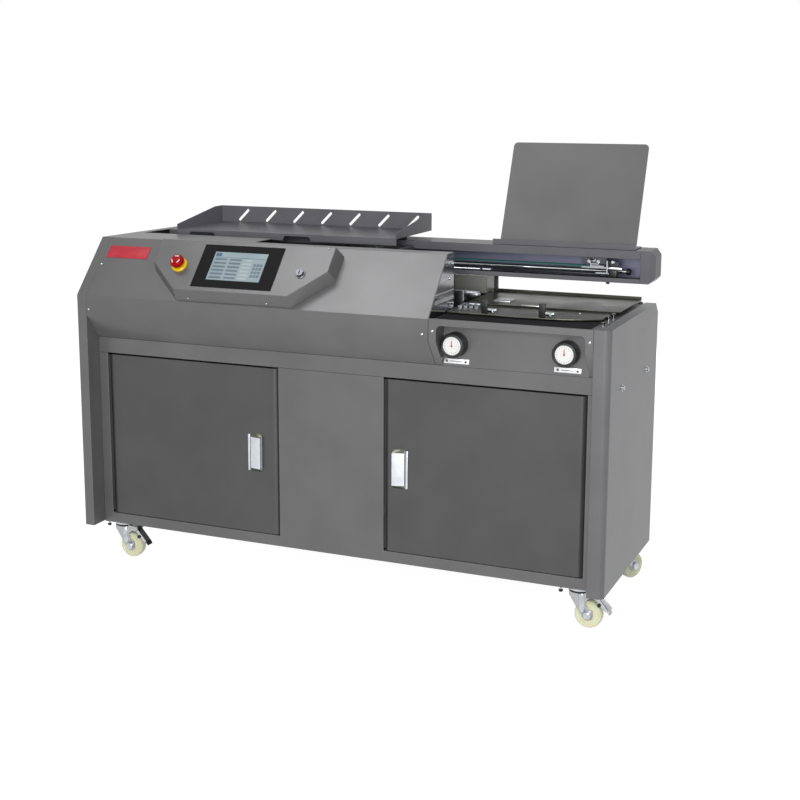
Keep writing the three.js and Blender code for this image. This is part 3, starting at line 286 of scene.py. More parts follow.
RED_ENAMEL = moulded("enamelled_plate_red", "#cd3746", "#da4352", 0.4, 3.0, 0.03, Specular_IOR_Level=0.2)
SILVER_FOIL = chrome("printed_foil_silver", "#d6d7d9", "#e9eaec", 0.3, 0.42)
DARK_PRINT = moulded("printed_mark_dark", "#3a3b3f", "#4a4b50", 0.5, 3.0, 0.02)
BELT_RUBBER = toothed_rubber("toothed_rubber_teal")
SCREEN_GLASS = lit_glass("display_glass_pale", "#9aaeb4", "#aabcc1")
SCREEN_BLUE = lit_glass("display_tile_blue", "#506d96", "#5d7aa0")
SCREEN_TILE = lit_glass("display_tile_grey", "#6f808c", "#7c8c97")
SCREEN_WHITE = lit_glass("display_tile_white", "#b4c2c6", "#c0cccf")


# ---------------------------------------------------------------- making pieces
def only(thing):
    """Makes one object the only one selected, and the active one."""
    bpy.ops.object.select_all(action="DESELECT")
    thing.select_set(True)
    bpy.context.view_layer.objects.active = thing


def clean_edges():
    """Merges the doubles of the active object and dissolves the edges inside its flat faces."""
    bpy.ops.object.mode_set(mode="EDIT")
    bpy.ops.mesh.select_all(action="SELECT")
    bpy.ops.mesh.remove_doubles(threshold=0.01 * MM)
    bpy.ops.mesh.dissolve_limited(angle_limit=radians(1))
    bpy.ops.object.mode_set(mode="OBJECT")


def fit(thing, finish, body=MACHINE, on=None, soft=35):
    """Puts a piece in place, smooths its round faces and gives it finish, body and slot."""
    if on is not None:
        thing.matrix_world = on @ thing.matrix_world
    only(thing)
    bpy.ops.object.transform_apply(location=True, rotation=True, scale=True)
    bpy.ops.object.shade_smooth_by_angle(angle=radians(soft))
    thing.data.materials.clear()
    thing.data.materials.append(finish)
    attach(thing, body)
    return thing


def block(name, low, high, radius=1.0, segments=2):
    """A block between two corners, all its edges rounded."""
    bpy.ops.object.select_all(action="DESELECT")
    bpy.ops.mesh.primitive_cube_add(size=1, location=metres([(a + b) / 2 for a, b in zip(low, high)]))
    made = bpy.context.object
    made.name = name
    made.scale = metres([b - a for a, b in zip(low, high)])
    bpy.ops.object.transform_apply(location=False, rotation=False, scale=True)
    bpy.ops.object.mode_set(mode="EDIT")
    bpy.ops.mesh.select_all(action="SELECT")
    bpy.ops.mesh.bevel(offset=radius * MM, segments=segments, affect="EDGES")
    bpy.ops.object.mode_set(mode="OBJECT")
    return made


def turned(name, rings, place, towards=UP, sides=32):
    """A round piece: rings of (radius, height) drawn out from place along a direction."""
    bpy.ops.object.select_all(action="DESELECT")
    radius, height = rings[0]
    bpy.ops.mesh.primitive_circle_add(vertices=sides, radius=radius * MM, fill_type="NGON")
    made = bpy.context.object
    made.name = name
    bpy.ops.object.mode_set(mode="EDIT")
    bpy.ops.mesh.select_all(action="SELECT")
    bpy.ops.transform.translate(value=(0, 0, height * MM))
    for next_radius, next_height in rings[1:]:
        step = (0, 0, (next_height - height) * MM)
        bpy.ops.mesh.extrude_region_move(TRANSFORM_OT_translate={"value": step})
        grow = next_radius / radius
        bpy.ops.transform.resize(value=(grow, grow, 1), center_override=(0, 0, next_height * MM))
        radius, height = next_radius, next_height
    bpy.ops.mesh.select_all(action="SELECT")
    bpy.ops.mesh.normals_make_consistent(inside=False)
    bpy.ops.object.mode_set(mode="OBJECT")
    turn = Vector(towards).to_track_quat("Z", "Y").to_matrix().to_4x4()
    made.matrix_world = Matrix.Translation(metres(place)) @ turn
    return made


def bar(name, start, end, radius, sides=32):
    """A round bar between two points, its ends broken with a small chamfer."""
    run = Vector(end) - Vector(start)
    edge = min(1.0, radius / 4)
    rings = [(radius - edge, 0), (radius, edge), (radius, run.length - edge), (radius - edge, run.length)]
    return turned(name, rings, start, run, sides)


def joined(name, things):
    """Several solids as one piece."""
    only(things[0])
    for thing in things:
        thing.select_set(True)
    bpy.ops.object.join()
    made = bpy.context.object
    made.name = name
    return made


def turn_about(thing, angle, axis, centre):
    """Turns a piece by degrees about an axis through a point."""
    middle = Matrix.Translation(metres(centre))
    spin = Matrix.Rotation(radians(angle), 4, axis)
    thing.matrix_world = middle @ spin @ middle.inverted() @ thing.matrix_world
    return thing


def dressed(node, finish, body=MACHINE, radius=0.8, soft=40, segments=2, notch=None):
    """A node's shape, less a notch where one is given, with its sharp edges rounded."""
    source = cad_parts[node]
    made = source.copy()
    made.data = source.data.copy()
    made.name = node + "_finished"
    scene.collection.objects.link(made)
    only(made)
    clean_edges()
    if notch is not None:
        bite = made.modifiers.new("bite", "BOOLEAN")
        bite.operation = "DIFFERENCE"
        bite.object = notch
        bpy.ops.object.modifier_apply(modifier="bite")
        bpy.data.objects.remove(notch, do_unlink=True)
    edge = made.modifiers.new("edge", "BEVEL")
    edge.width = radius * MM
    edge.segments = segments
    edge.limit_method = "ANGLE"
    edge.angle_limit = radians(40)
    edge.use_clamp_overlap = False
    bpy.ops.object.modifier_apply(modifier="edge")
    fit(made, finish, body, soft=soft)
    # Flat faces keep their own direction and only the rounded edges blend
    even = made.modifiers.new("even", "WEIGHTED_NORMAL")
    even.keep_sharp = True
    bpy.ops.object.modifier_apply(modifier="even")
    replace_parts(made, node)


def repaint(finish, node):
    """A new finish on a solid that stays as it is."""
    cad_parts[node].material_slots[0].material = finish


def screw(name, place, towards, radius=3.5, body=MACHINE, on=None, finish=CHROME):
    """Pan-head screw with a round socket."""
    shares = [(1, -0.1), (1, 0.3), (0.85, 0.6), (0.5, 0.72), (0.42, 0.66), (0.4, 0.3)]
    made = turned(name, [(radius * out, radius * up) for out, up in shares], place, towards, 20)
    fit(made, finish, body, on)


# ---------------------------------------------------------------- cabinet, panels and covers
def cabinet():
    for node, finish, slot, radius in (
        ("left_side_panel", FRONT_COAT, "grey_paint", 1.2),
        ("right_side_panel", SIDE_COAT, "side_paint", 1.2),
        ("front_frame", FRONT_COAT, "grey_paint", 1.2),
        ("top_rail", FRONT_COAT, "grey_paint", 1.2),
        ("front_cover", FRONT_COAT, "grey_paint", 1.0),
        ("right_front_frame", FRONT_COAT, "grey_paint", 1.0),
        ("knob_panel", FRONT_COAT, "grey_paint", 0.8),
        ("rear_panel", FRONT_COAT, "grey_paint", 0.8),
        ("rear_cover", FRONT_COAT, "grey_paint", 0.8),
        ("base_pan", INNER_COAT, "grey_paint", 0.8),
        ("housing_right_wall", WALL_STEEL, "satin_steel", 0.8),
        ("power_inlet", BLACK_ABS, "black_plastic", 0.5),
    ):
        dressed(node, finish, radius=radius)
    repaint(INNER_COAT, "machine_bed")


def panel_screws():
    screw("slope_screw", (-742, 109, 0), UP, 3.2, on=SLOPE)
    for name, x, z, radius in (
        ("skirt_screw_left", -740, 773, 3.4),
        ("skirt_screw_right", 286, 773, 3.0),
        ("pocket_screw_left", 314, 783, 3.4),
        ("pocket_screw_right", 728, 783, 3.4),
    ):
        screw(name, (x, FRONT_Y, z), FORWARD, radius)
    disc = [(9, -0.2), (9, 1), (7.5, 1.6)]
    cap = [(6, 0), (6, 4), (5, 5.2), (3, 5.2), (2.8, 2.2)]
    for name, y, z in (("front", -159.4, 648.7), ("rear", 113.9, 646.8)):
        washer = turned("panel_washer_" + name, disc, (RIGHT_PANEL_X, y, z), RIGHT)
        fit(washer, CHROME)
        head = turned("panel_bolt_" + name, cap, (RIGHT_PANEL_X + 1.4, y, z), RIGHT)
        fit(head, CHROME)
    rear = [(x, z) for x in (-735, -250, 235, 735) for z in (165, 700)]
    for number, (x, z) in enumerate(rear):
        screw(f"rear_screw_{number}", (x, REAR_PANEL_Y, z), BACK)
    for number, x in enumerate((-700, -230, 240)):
        screw(f"rear_cover_screw_{number}", (x, REAR_COVER_Y, 870), BACK)


def levelling_studs():
    thread = [(2.6, 0), (2.6, 7), (3.4, 7.5), (3.4, 9)]
    rubber = [(4.6, 0), (5.6, 1.2), (5.6, 5), (4.4, 6.4)]
    for name, x in (("left", -735.5), ("right", 654.8)):
        stud = turned("foot_stud_" + name, thread, (x, FOOT_Y, 123.8), DOWN, 20)
        fit(stud, CHROME)
        foot = turned("foot_rubber_" + name, rubber, (x, FOOT_Y, 119.5), DOWN, 28)
        fit(foot, BLACK_RUBBER)


# ---------------------------------------------------------------- control box
def control_box():
    dressed("control_box", FRONT_COAT, radius=1.6, segments=3)
    dressed("screen_bezel", BEZEL_BLACK, radius=0.5)
    repaint(SCREEN_GLASS, "screen_glass")
    for number, x in enumerate((-405.7, -162.3)):
        screw(f"box_screw_{number}", (x, 5.6, 13), (0, -1, 0.25), 2.8, on=SLOPE)
    screw("box_screw_top", (-20, 175.5, BOX_FACE - 0.3), UP, 2.6, on=SLOPE)


def screen_tiles():
    """Plain tiles in three columns and a block of keys: a generic layout with no lettering."""
    middle = BOX_MIDDLE - 2
    level = BOX_FACE + 1.2

    def tile(left, low, right, high):
        return block("tile", (middle + left, low, level), (middle + right, high, level + 0.3), 0.1, 1)

    columns = [(-76, -38, SCREEN_TILE), (-30, 6, SCREEN_TILE), (12, 40, SCREEN_WHITE)]
    rows = range(118, 57, -12)
    for finish, label in ((SCREEN_TILE, "grey"), (SCREEN_WHITE, "white")):
        tiles = [tile(left, y, right, y + 6) for left, right, kind in columns if kind is finish for y in rows]
        fit(joined("screen_rows_" + label, tiles), finish, on=SLOPE)
    keys = [tile(x, y, x + 8, y + 9) for x in (48, 58, 68) for y in (66, 78, 90, 102)]
    fit(joined("screen_keys", keys), SCREEN_TILE, on=SLOPE)
    header = [tile(-78, 131, -60, 142), tile(-78, 127, 78, 128.2)]
    fit(joined("screen_header", header), SCREEN_BLUE, on=SLOPE)


def nameplate():
    """The red plate at the left of the slope, left bare."""
    plate = block("nameplate", (-737, 134, 0.1), (-600, 175.5, 1.7), 0.5)
    fit(plate, RED_ENAMEL, on=SLOPE)


def stop_button():
    """Yellow collar, and a red mushroom cap with three turn marks."""
    x, run, level = BUTTON_PLACE
    collar = [(22, 0), (23, 0.8), (23, 5.6), (20.5, 7.8), (13, 8), (12, 7.4), (11.4, 1.5)]
    ring = turned("stop_collar", collar, BUTTON_PLACE, sides=48)
    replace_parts(fit(ring, YELLOW_PLASTIC, on=SLOPE), "estop_collar")
    mushroom = [
        (10.6, 6), (10.6, 13), (15.5, 13.2), (19, 15.4), (20, 18.8),
        (19.6, 23), (18, 26.4), (15, 28.4), (9, 29.2), (3, 29.4),
    ]
    cap = turned("stop_cap", mushroom, BUTTON_PLACE, sides=48)
    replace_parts(fit(cap, RED_PLASTIC, "stop_button", SLOPE, 60), "estop_button")
    marks = []
    for turn in (0, 120, 240):
        mark = block("mark", (x - 6, run + 9.5, level + 28.2), (x + 6, run + 12.8, level + 29.6), 0.3, 1)
        marks.append(turn_about(mark, turn, "Z", BUTTON_PLACE))
    fit(joined("stop_turn_marks", marks), WHITE_ENAMEL, "stop_button", SLOPE)


def key_lock():
    rings = [(15, -0.2), (15, 1.4), (13.6, 2.4), (12, 2.4), (11.6, 1)]
    ring = turned("key_ring", rings, LOCK_PLACE, sides=40)
    fit(ring, KEY_NICKEL, on=SLOPE)
    dressed("key_switch", KEY_NICKEL, "key", radius=0.6, segments=3)


# ---------------------------------------------------------------- knobs, dials and their plates
def knobs():
    """Black knobs, each with a rim round a white dial, twenty ticks and a red needle."""
    face = KNOB_FACE_Y - KNOB_DEPTH
    rim = [(32, 0), (32, 1.2), (30, 3.2), (26, 4.2), (24.6, 3.6), (24.3, 1)]
    disc = [(24, 0), (24, 2.4), (23, 3.1), (22, 3.2)]
    for side, (x, z) in KNOBS.items():
        body, centre = side + "_knob", (x, face, z)
        dressed("knob_" + side, BLACK_ABS, body, radius=0.5, soft=30)
        fit(turned("knob_rim_" + side, rim, centre, FORWARD, 48), BLACK_ABS, body)
        dial = turned("dial_face_" + side, disc, centre, FORWARD, 64)
        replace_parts(fit(dial, WHITE_ENAMEL, body), "dial_" + side)
        ticks = []
        for step in range(20):
            # Every fifth tick is a long one
            foot = 18.6 if step % 5 else 16.5
            tick = block("tick", (x - 0.35, face - 3.6, z + foot), (x + 0.35, face - 3.1, z + 21), 0.1, 1)
            ticks.append(turn_about(tick, 18 * step, "Y", centre))
        fit(joined("dial_ticks_" + side, ticks), DARK_PRINT, body)
        needle = block("needle", (x - 0.9, face - 4.4, z - 2), (x + 0.9, face - 3.6, z + 14), 0.3, 1)
        hub = turned("hub", [(2.4, 0), (2.4, 1.2), (1.6, 1.8)], (x, face - 3.2, z), FORWARD, 24)
        fit(joined("dial_needle_" + side, [needle, hub]), RED_PLASTIC, body)


def label_plates():
    """A foil plate under each knob, with a plain line between two pins and no lettering."""
    face = KNOB_FACE_Y
    head = [(3.4, 0), (3.4, 0.6), (2.4, 1.2), (1.2, 1.2)]
    for side, (x, z) in KNOBS.items():
        level = z - LABEL_DROP
        low, high = (x - 35, face - 0.9, level - 6.25), (x + 35, face, level + 6.25)
        plate = block("scale_plate_" + side, low, high, 0.3)
        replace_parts(fit(plate, SILVER_FOIL), "label_" + side)
        marks = [block("line", (x - 17, face - 1.3, level - 0.8), (x + 17, face - 0.8, level + 0.8), 0.1, 1)]
        for end in (-26, 26):
            marks.append(turned("pin", head, (x + end, face - 0.8, level), FORWARD, 20))
        fit(joined("scale_plate_marks_" + side, marks), DARK_PRINT)


# ---------------------------------------------------------------- doors and handles
def doors():
    for side in ("left", "right"):
        node, body = "door_" + side, side + "_door"
        dressed(node, DOOR_COAT, body, radius=1.0)
        # The sheet is folded back along its left edge; the near-black strip there is painted shade, where the
        # fold turns from the light
        edge = min(corner[0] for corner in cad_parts[node].bound_box) / MM
        low, high = (edge + 0.2, CABINET_Y - 0.4, DOOR_LOW), (edge + 7, CABINET_Y + 0.6, DOOR_HIGH)
        fit(block("door_edge_shade_" + side, low, high, 0.3, 1), SHADE_COAT, body)


def where_true(thing, kind, test):
    """Selects the vertices or faces of a mesh whose middle passes a test, in millimetres."""
    bpy.ops.object.mode_set(mode="EDIT")
    bpy.ops.mesh.select_mode(type={"vertices": "VERT", "polygons": "FACE"}[kind])
    bpy.ops.mesh.select_all(action="DESELECT")
    bpy.ops.object.mode_set(mode="OBJECT")
    for item in getattr(thing.data, kind):
        middle = item.co if kind == "vertices" else item.center
        item.select = test(*(middle / MM))
    bpy.ops.object.mode_set(mode="EDIT")


def handles():
    """Cup handles pressed from one sheet: a low face with slanted ends and its mouth at one side."""
    face, back = CABINET_Y - 13.3, CABINET_Y - 0.3
    # Half heights of the cup at the door, of its face, and of the strip beside it
    foot, crown, flange = 54.5, 44.5, 52.5
    for side, x in HANDLES.items():
        sign = 1 if side == "left" else -1
        closed, mouth = x - sign * 12.7, x + sign * 21.5
        left, right = sorted((closed, mouth))
        # The cup starts sharp: its bevel is too small to see and is merged away below
        cup = block("cup", (left, face, HANDLE_HEIGHT - foot), (right, back, HANDLE_HEIGHT + foot), 0.0001, 1)
        bpy.ops.object.transform_apply(location=True, rotation=False, scale=False)
        where_true(cup, "vertices", lambda a, b, c: b < face + 1)
        middle = metres((x, face, HANDLE_HEIGHT))
        bpy.ops.transform.resize(value=(1, 1, crown / foot), center_override=middle)
        where_true(cup, "vertices", lambda a, b, c: b < face + 1 and abs(a - closed) < 1)
        bpy.ops.transform.translate(value=metres((0, 8.5, 0)))
        bpy.ops.object.mode_set(mode="OBJECT")
        only(cup)
        clean_edges()
        # The mouth is set in from its rim and runs back into the cup
        where_true(cup, "polygons", lambda a, b, c: abs(a - mouth) < 0.5)
        bpy.ops.mesh.inset(thickness=2 * MM)
        bpy.ops.mesh.extrude_region_move(TRANSFORM_OT_translate={"value": metres((-sign * 15, 0, 0))})
        middle = metres((x, back - 2.2, HANDLE_HEIGHT))
        bpy.ops.transform.resize(value=(1, 0.4, 1), center_override=middle)
        bpy.ops.object.mode_set(mode="OBJECT")
        edge = cup.modifiers.new("edge", "BEVEL")
        edge.width = 0.9 * MM
        edge.segments = 3
        edge.angle_limit = radians(20)
        bpy.ops.object.modifier_apply(modifier="edge")
        left, right = sorted((x - sign * 15, x - sign * 21.5))
        low, high = (left, back - 3, HANDLE_HEIGHT - flange), (right, back, HANDLE_HEIGHT + flange)
        strip = block("strip", low, high, 0.9)
        made = fit(joined("cup_handle_" + side, [cup, strip]), HANDLE_CHROME, side + "_door")
        # The slanted ends get a darker steel as painted shade, since they catch less light; they show as grey
        # bands
        made.data.materials.append(PLATE_STEEL)
        for polygon in made.data.polygons:
            if abs(polygon.normal.z) > 0.4:
                polygon.material_index = 1
        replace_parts(made, "handle_" + side)


# ---------------------------------------------------------------- beam, drive and tray
def beam():
    dressed("beam", BEAM_COAT, radius=1.0)
    dressed("beam_end_cap", BEAM_COAT, radius=1.2)
    repaint(BELT_RUBBER, "drive_belt")
    dressed("idler_bracket", INNER_COAT, radius=0.6)
    for pulley in ("drive_pulley", "idler_pulley"):
        dressed(pulley, CHROME, "belt_" + pulley, radius=0.3)
    shaft = bar("guide_shaft", (-749.7, SHAFT_Y, SHAFT_Z), (697, SHAFT_Y, SHAFT_Z), 6)
    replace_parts(fit(shaft, SHAFT_CHROME), "guide_shaft_upper")
    # A black strip under the shaft, where it shows past the wall, is painted shade on the shaft's underside
    rail = block("shaft_underside_shade", (306, SHAFT_Y - 4, 883), (640, SHAFT_Y + 4, 888.2), 0.8)
    fit(rail, BLACK_ABS)
    # A pale liner on the beam's back wall is painted light in the shaded hollow
    liner = block("beam_liner_painted_light", (-745, 261.6, 874), (738, 262.9, 956), 0.4, 1)
    fit(liner, LINER_LIGHT_COAT)
    rod = bar("push_rod", (6, ROD_Y, ROD_Z), (306, ROD_Y, ROD_Z), 5)
    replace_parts(fit(rod, CHROME, "clamp_carriage"), "guide_shaft_lower")
    rubber = [(4.5, -1), (5, 0), (5, 5), (3.6, 6.5)]
    fit(turned("beam_buffer", rubber, (649, 180, BEAM_LOW), DOWN, 28), BLACK_RUBBER)
    screw("beam_lip_bolt", (-51, BEAM_FRONT, 952), FORWARD)


def idler_fittings():
    """The small struts, bolts, clip and collars round the idler at the right end of the beam."""
    for name, start, end, level in (("upper", 590, 655, 939), ("lower", 600, 640, 912)):
        strut = bar("idler_strut_" + name, (start, 172, level), (end, 172, level), 3.5)
        fit(strut, CHROME)
    for number, x in enumerate((597, 623, 664)):
        bolt = bar(f"idler_bolt_{number}", (x, 168, 926), (x, 178, 926), 5.5, 6)
        fit(bolt, CHROME)
    fit(block("idler_clip", (576, 168, 905), (690, 172, 911), 0.8), CHROME)
    fit(block("idler_stop", (656, 167, 884), (676, 174, 904), 1.2), BLACK_ABS)
    fit(block("idler_cap", (600, 168, 928), (612, 173, 937), 1.0), BLACK_ABS)
    fit(bar("idler_spacer", (616, 170, 893), (654, 170, 893), 4), CHROME)
    fit(bar("idler_pin", (648, 170, 896), (648, 170, 930), 3), CHROME)
    rings = [(8, 0), (9, 1), (9, 10), (7.5, 12)]
    collar = turned("shaft_end_collar", rings, (694, SHAFT_Y, SHAFT_Z), RIGHT, 28)
    fit(collar, BLACK_ABS)
    rings = [(6, 0), (7.2, 0.8), (7.2, 7), (6, 8)]
    collar = turned("push_rod_collar", rings, (274, ROD_Y, ROD_Z), RIGHT, 28)
    fit(collar, BLACK_ABS, "clamp_carriage")


def tray():
    dressed("tray", BEAM_COAT, radius=0.6)
    dressed("stand_plate", FRONT_COAT)
    dressed("stand_ledge", BEAM_COAT)


# ---------------------------------------------------------------- table, stops and clamp
def table():
    dressed("arc_plate", PLATE_STEEL, "front_table_plate")
    dressed("rear_nip_plate", TABLE_STEEL, "rear_table_plate", radius=0.6)
    front, back, top = STOP_Y - 6, STOP_Y + 6, TABLE_TOP + 0.3
    head = [(3.4, -1), (3.4, 1.6), (2.6, 2.4), (1.6, 1.2)]
    for side, x in STOPS.items():
        body = side + "_cover_stop"
        post = block("stop_post_" + side, (x - 17, front, top), (x - 0.1, back, top + 34), 1.2, 3)
        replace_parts(fit(post, BLACK_ABS, body), "cover_stop_" + side)
        pad = block("stop_pad_" + side, (x, front, top), (x + 24, back, top + 13), 1.2, 3)
        pin = turned("pin", head, (x + 16, front, top + 6.5), FORWARD, 24)
        fit(joined("stop_pad_" + side, [pad, pin]), CHROME, body)
    for name, x, y, height in (("rear", 726, -52, 13), ("middle", 724, -93, 13), ("front", 729, -169, 8)):
        rings = [(4, 0), (4, height - 3), (5.5, height - 2.6), (5.5, height), (3, height + 0.8)]
        stud = turned("table_stud_" + name, rings, (x, y, TABLE_TOP - 8.2), sides=24)
        fit(stud, CHROME)
    # A near-black sheet on the table floor is painted shadow under the arc plate's front edge
    sheet = block("table_floor_painted_shade", (306, -278, 807.05), (716, -60, 807.6), 0.2, 1)
    fit(sheet, SHADE_COAT)
    screw("plate_rivet", (638, -59, TABLE_TOP), UP, 3.6, "front_table_plate", finish=SATIN_CHROME)


def table_strips():
    """Small bright strips screwed to the two table plates, one of them cut like a comb."""
    front, rear = "front_table_plate", "rear_table_plate"
    low = TABLE_TOP - 0.2
    comb = []
    for x in (309, 324.5, 340, 355.5):
        comb.append(block("tooth", (x, -86, low), (x + 10.5, -54, low + 6), 0.4, 1))
    comb.append(block("spine", (309, -55, low), (366, -49, low + 6), 0.4, 1))
    fit(joined("comb_strip", comb), SATIN_CHROME, front)
    strip = block("edge_strip", (306, -48.5, low), (356, -37.5, low + 7), 0.8)
    fit(strip, CHROME, front)
    low = TABLE_TOP + 3.8
    strip = block("white_strip", (368, 32, low), (416, 84, low + 2.4), 0.6)
    fit(strip, SILVER_FOIL, rear)
    strip = block("front_strip", (463, -15, low), (515, -7, low + 2), 0.5)
    fit(strip, SILVER_FOIL, rear)


def clamp_and_works():
    for node, finish, body, radius in (
        ("carriage", WORK_STEEL, "clamp_carriage", 0.8),
        ("clamp_rear_jaw", WORK_STEEL, "clamp_carriage", 1.5),
        ("clamp_front_jaw", WORK_STEEL, "front_jaw", 1.5),
        ("glue_tank", WORK_STEEL, MACHINE, 1.5),
        ("glue_roller", CHROME, "roller", 0.5),
        ("milling_cutter", CHROME, "cutter", 0.3),
    ):
        dressed(node, finish, body, radius)
    screw("wall_screw", (302, -136, 899), RIGHT, 4)
    # Thin sheets on the column and the housing wall, each a millimetre thick
    for name, low, high, finish in (
        # The two column sheets are paler than the wall: painted light on faces that the lamps hardly reach
        ("column_face", (204, 164.8, 819.6), (301, 165.8, 869.4), COLUMN_LIGHT_COAT),
        ("column_side", (301.8, 166.4, 819.6), (302.8, 229, 869.4), COLUMN_LIGHT_COAT),
        # The two foil strips on the wall are painted reflections of bright things on the table
        ("wall_reflection_lower", (301.8, -240, 842), (302.8, -105, 852), SILVER_FOIL),
        ("wall_reflection_upper", (301.8, -240, 865), (302.8, -105, 868), SILVER_FOIL),
    ):
        fit(block(name, low, high, 0.4, 1), finish)
    # A crease roller on its bracket stands just inside the opening, behind the path of the jaws
    foot = block("roller_bracket", (252, 33, 744), (281, 57, 844), 1.5, 3)
    fit(foot, WORK_STEEL)
    crease = [(7, 0), (9, 2), (10, 6), (10, 34), (8.5, 40), (5, 44), (2, 45)]
    fit(turned("crease_roller", crease, (281, 45, 833), RIGHT, 40), SATIN_CHROME)


# ---------------------------------------------------------------- castors
def castors():
    """Zinc forks with ribs, raceway and axle nuts, and cream wheels with a raised rim."""
    nut_rings = [(9.6, 0), (10.2, 1), (10.2, 5.5), (8, 7.4), (3, 8)]
    washer_rings = [(14, -1), (14, 0.8), (13.4, 1.2), (9, 1.2)]
    race_rings = [(27.2, 0), (28.8, 1), (28.8, 8), (27.2, 9)]
    gap_shade_rings = [(27.2, 0), (28.2, 0.6), (28.2, 4), (27.2, 4.6)]
    # The wheel from its hub over the web to the tread, and the same mirrored
    half = [(13, 12.4), (17, 12.9), (19, 11.4), (29, 11.4), (31, 12.9), (34.4, 12.8), (36.4, 10.6), (37.3, 6.4)]
    half.append((WHEEL_RADIUS, 3))
    tyre_rings = [(r, -h) for r, h in half] + [(r, h) for r, h in reversed(half)]
    for where, (x, y, turn) in CASTORS.items():
        swivel = Matrix.Translation(metres((x, y, 0))) @ Matrix.Rotation(radians(turn), 4, "Z")
        fork, wheel = "castor_" + where, "wheel_" + where
        # Each leg of the fork is waisted between the crown and the axle
        waist = bar("waist", (38, -30, 68), (38, 30, 68), 16, 40)
        waist.matrix_world = swivel @ waist.matrix_world
        dressed("caster_fork_" + where, ZINC, fork, notch=waist)
        for end, side in (("near", -1), ("far", 1)):
            face, outwards = (WHEEL_TRAIL, side * FORK_FACE, WHEEL_RADIUS), (0, side, 0)
            washer = turned(f"axle_washer_{where}_{end}", washer_rings, face, outwards)
            fit(washer, SATIN_CHROME, fork, swivel)
            nut = turned(f"axle_nut_{where}_{end}", nut_rings, face, outwards, 24)
            fit(nut, CHROME, fork, swivel)
            # A rib is a bar pressed to half its width, half sunk in the leg; its chrome, brighter than the
            # zinc, is a painted highlight
            rib = bar(f"fork_rib_{where}_{end}", (9, 0, 95), (13, 0, 46), 7.5, 28)
            pressed = Matrix.Translation(metres((0, side * 17.4, 0))) @ Matrix.Diagonal((1, 0.5, 1, 1))
            rib.matrix_world = pressed @ rib.matrix_world
            fit(rib, CHROME, fork, swivel)
        race = turned("raceway_ring_" + where, race_rings, (0, 0, 102), sides=48)
        fit(race, CHROME, fork, swivel)
        # A black ring under the raceway is painted shade in the swivel gap
        gap_shade = turned("raceway_gap_shade_" + where, gap_shade_rings, (0, 0, 97), sides=48)
        fit(gap_shade, BLACK_RUBBER, fork, swivel)
        tyre = turned("castor_tyre_" + where, tyre_rings, (WHEEL_TRAIL, 0, WHEEL_RADIUS), BACK, 64)
        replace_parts(fit(tyre, CREAM_NYLON, wheel, swivel), "caster_wheel_" + where)


def brakes():
    """Pedals of the two front castors: a bright arm, a cheek beside it and a round black pad."""
    tilt = Matrix.Translation(metres(PEDAL_PIVOT)) @ Matrix.Rotation(radians(PEDAL_TILT), 4, "Y")
    rubber = [(3.5, 0), (4.5, 1), (4.5, 5), (3.5, 6)]
    for side, finish, slot in (("left", BLACK_ABS, "black_plastic"), ("right", ZINC, "zinc")):
        where = "front_" + side
        pedal = "pedal_" + where
        x, y, _ = CASTORS[where]
        place = Matrix.Translation(metres((x, y, 0)))
        dressed("brake_pedal_" + where, finish, pedal, radius=1.0)
        arm = block("brake_arm_" + where, (-4, -14.6, -5), (50, -12.6, 4), 0.8)
        arm.matrix_world = tilt @ arm.matrix_world
        cheek = block("pedal_cheek_" + where, (12, -12, 3), (52, -9, 17), 1.2)
        cheek.matrix_world = tilt @ cheek.matrix_world
        fit(cheek, finish, pedal, place)
        pad = turned("brake_pad_" + where, rubber, (57, -19.5, 68), BACK, 20)
        fit(arm, CHROME, pedal, place)
        fit(pad, BLACK_RUBBER, pedal, place)


# ---------------------------------------------------------------- light, floor and camera
def lamp(name, place, aim, size, power, mirrored=True, spread=True):
    """A softbox, in metres and watts. It may be kept out of mirrors, or give sheen alone."""
    light = bpy.data.lights.new(name, "AREA")
    light.shape = "RECTANGLE"
    light.size, light.size_y = size
    light.energy = power
    holder = bpy.data.objects.new(name, light)
    scene.collection.objects.link(holder)
    holder.visible_glossy = mirrored
    holder.visible_diffuse = spread
    holder.location = place
    holder.rotation_euler = (Vector(aim) - Vector(place)).to_track_quat("-Z", "Y").to_euler()


def seen_rays(tree):
    """The light path, and 1 for rays that go to the camera straight or by a shiny face."""
    path = add(tree, "ShaderNodeLightPath").outputs
    rays = {0: path["Is Camera Ray"], 1: path["Is Glossy Ray"]}
    return path, add(tree, "ShaderNodeMath", {"operation": "MAXIMUM"}, rays).outputs[0]


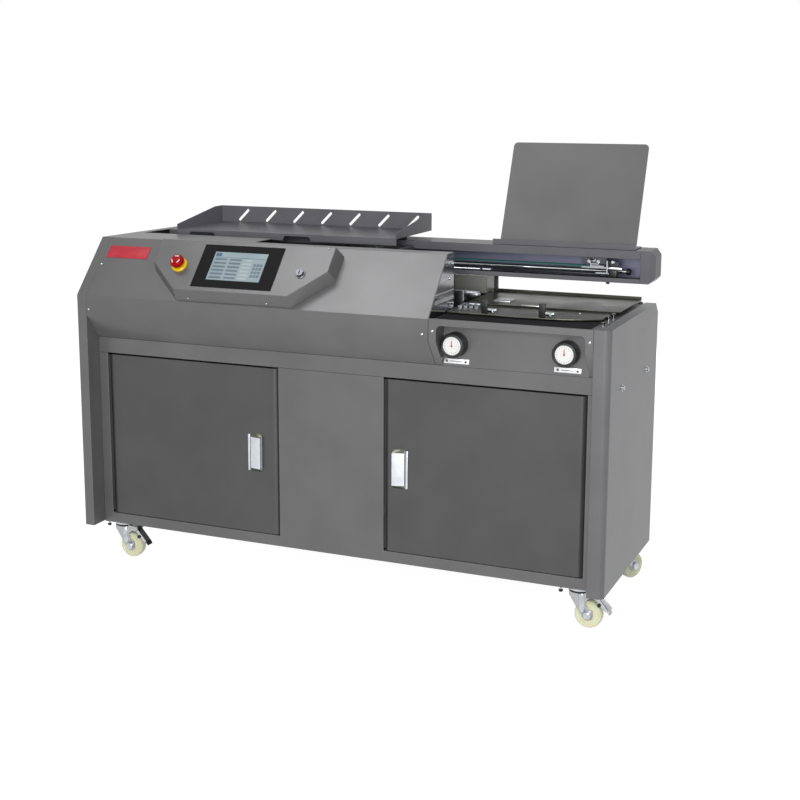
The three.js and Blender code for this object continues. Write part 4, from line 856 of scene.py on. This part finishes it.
def studio():
    world = bpy.data.worlds.new("studio")
    scene.world = world
    world.use_nodes = True
    tree = world.node_tree
    tree.nodes.clear()
    path, seen = seen_rays(tree)
    rays = {0: seen, 1: path["Is Transmission Ray"]}
    clear = add(tree, "ShaderNodeMath", {"operation": "MAXIMUM"}, rays).outputs[0]
    # Rays that are seen meet plain white; the light of the surroundings is lower
    level = add(tree, "ShaderNodeMapRange", {"To Min": FILL_LEVEL, "To Max": 1.0}, {"Value": clear})
    glow = add(tree, "ShaderNodeBackground", {"Color": (1, 1, 1, 1)}, {"Strength": level.outputs["Result"]})
    add(tree, "ShaderNodeOutputWorld", links={"Surface": glow.outputs["Background"]})
    # The light above gives sheen alone, and no shiny face mirrors the two fill lights
    lamp("softbox_overhead", (-1.0, -1.0, 3.45), (-0.1, -0.2, 0.8), (1.1, 1.0), 24, spread=False)
    lamp("softbox_right", (3.6, -1.6, 1.9), (0.6, 0, 0.5), (1.6, 1.6), 4)
    lamp("softbox_rear", (-0.6, 3.9, 0.9), (0, 0.2, 0.6), (2.2, 1.4), 40, mirrored=False)
    lamp("softbox_left", (-3.6, 0.4, 0.9), (-0.7, 0, 0.5), (1.6, 1.4), 16, mirrored=False)
    lamp("softbox_front", (1.3, -4.2, 1.6), (0, 0, 0.6), (2.0, 1.6), 112)


def floor():
    bpy.ops.object.select_all(action="DESELECT")
    bpy.ops.mesh.primitive_plane_add(size=40)
    ground = bpy.context.object
    ground.name = "studio_floor"
    made = bpy.data.materials.new("studio_floor_white")
    made.use_nodes = True
    tree = made.node_tree
    tree.nodes.clear()
    seen = seen_rays(tree)[1]
    # The lit part holds the machine's shadow; the rest is added white for the rays that are seen
    lit = add(tree, "ShaderNodeBsdfDiffuse", {"Color": (0.32, 0.32, 0.32, 1)})
    white = add(tree, "ShaderNodeEmission", {"Color": (1, 1, 1, 1), "Strength": 0.92})
    pale = add(tree, "ShaderNodeAddShader", links={0: lit.outputs[0], 1: white.outputs[0]})
    plain = add(tree, "ShaderNodeBsdfDiffuse", {"Color": (0.7, 0.7, 0.7, 1)})
    mix = add(tree, "ShaderNodeMixShader", links={0: seen, 1: plain.outputs[0], 2: pale.outputs[0]})
    add(tree, "ShaderNodeOutputMaterial", links={"Surface": mix.outputs[0]})
    ground.data.materials.append(made)


def camera():
    data = bpy.data.cameras.new("camera")
    data.lens = CAMERA_LENS
    data.sensor_width = CAMERA_SENSOR
    data.shift_x, data.shift_y = CAMERA_SHIFT
    data.clip_end = 100
    holder = bpy.data.objects.new("camera", data)
    scene.collection.objects.link(holder)
    holder.location = CAMERA_PLACE
    yaw, pitch = radians(CAMERA_YAW), radians(CAMERA_PITCH)
    forward = Vector((-sin(yaw) * cos(pitch), cos(yaw) * cos(pitch), -sin(pitch)))
    holder.rotation_euler = forward.to_track_quat("-Z", "Y").to_euler()
    scene.camera = holder
    scene.view_settings.view_transform = "Standard"


camera()
cabinet()
panel_screws()
levelling_studs()
control_box()
screen_tiles()
nameplate()
stop_button()
key_lock()
knobs()
label_plates()
doors()
handles()
beam()
idler_fittings()
tray()
table()
table_strips()
clamp_and_works()
castors()
brakes()
studio()
floor()
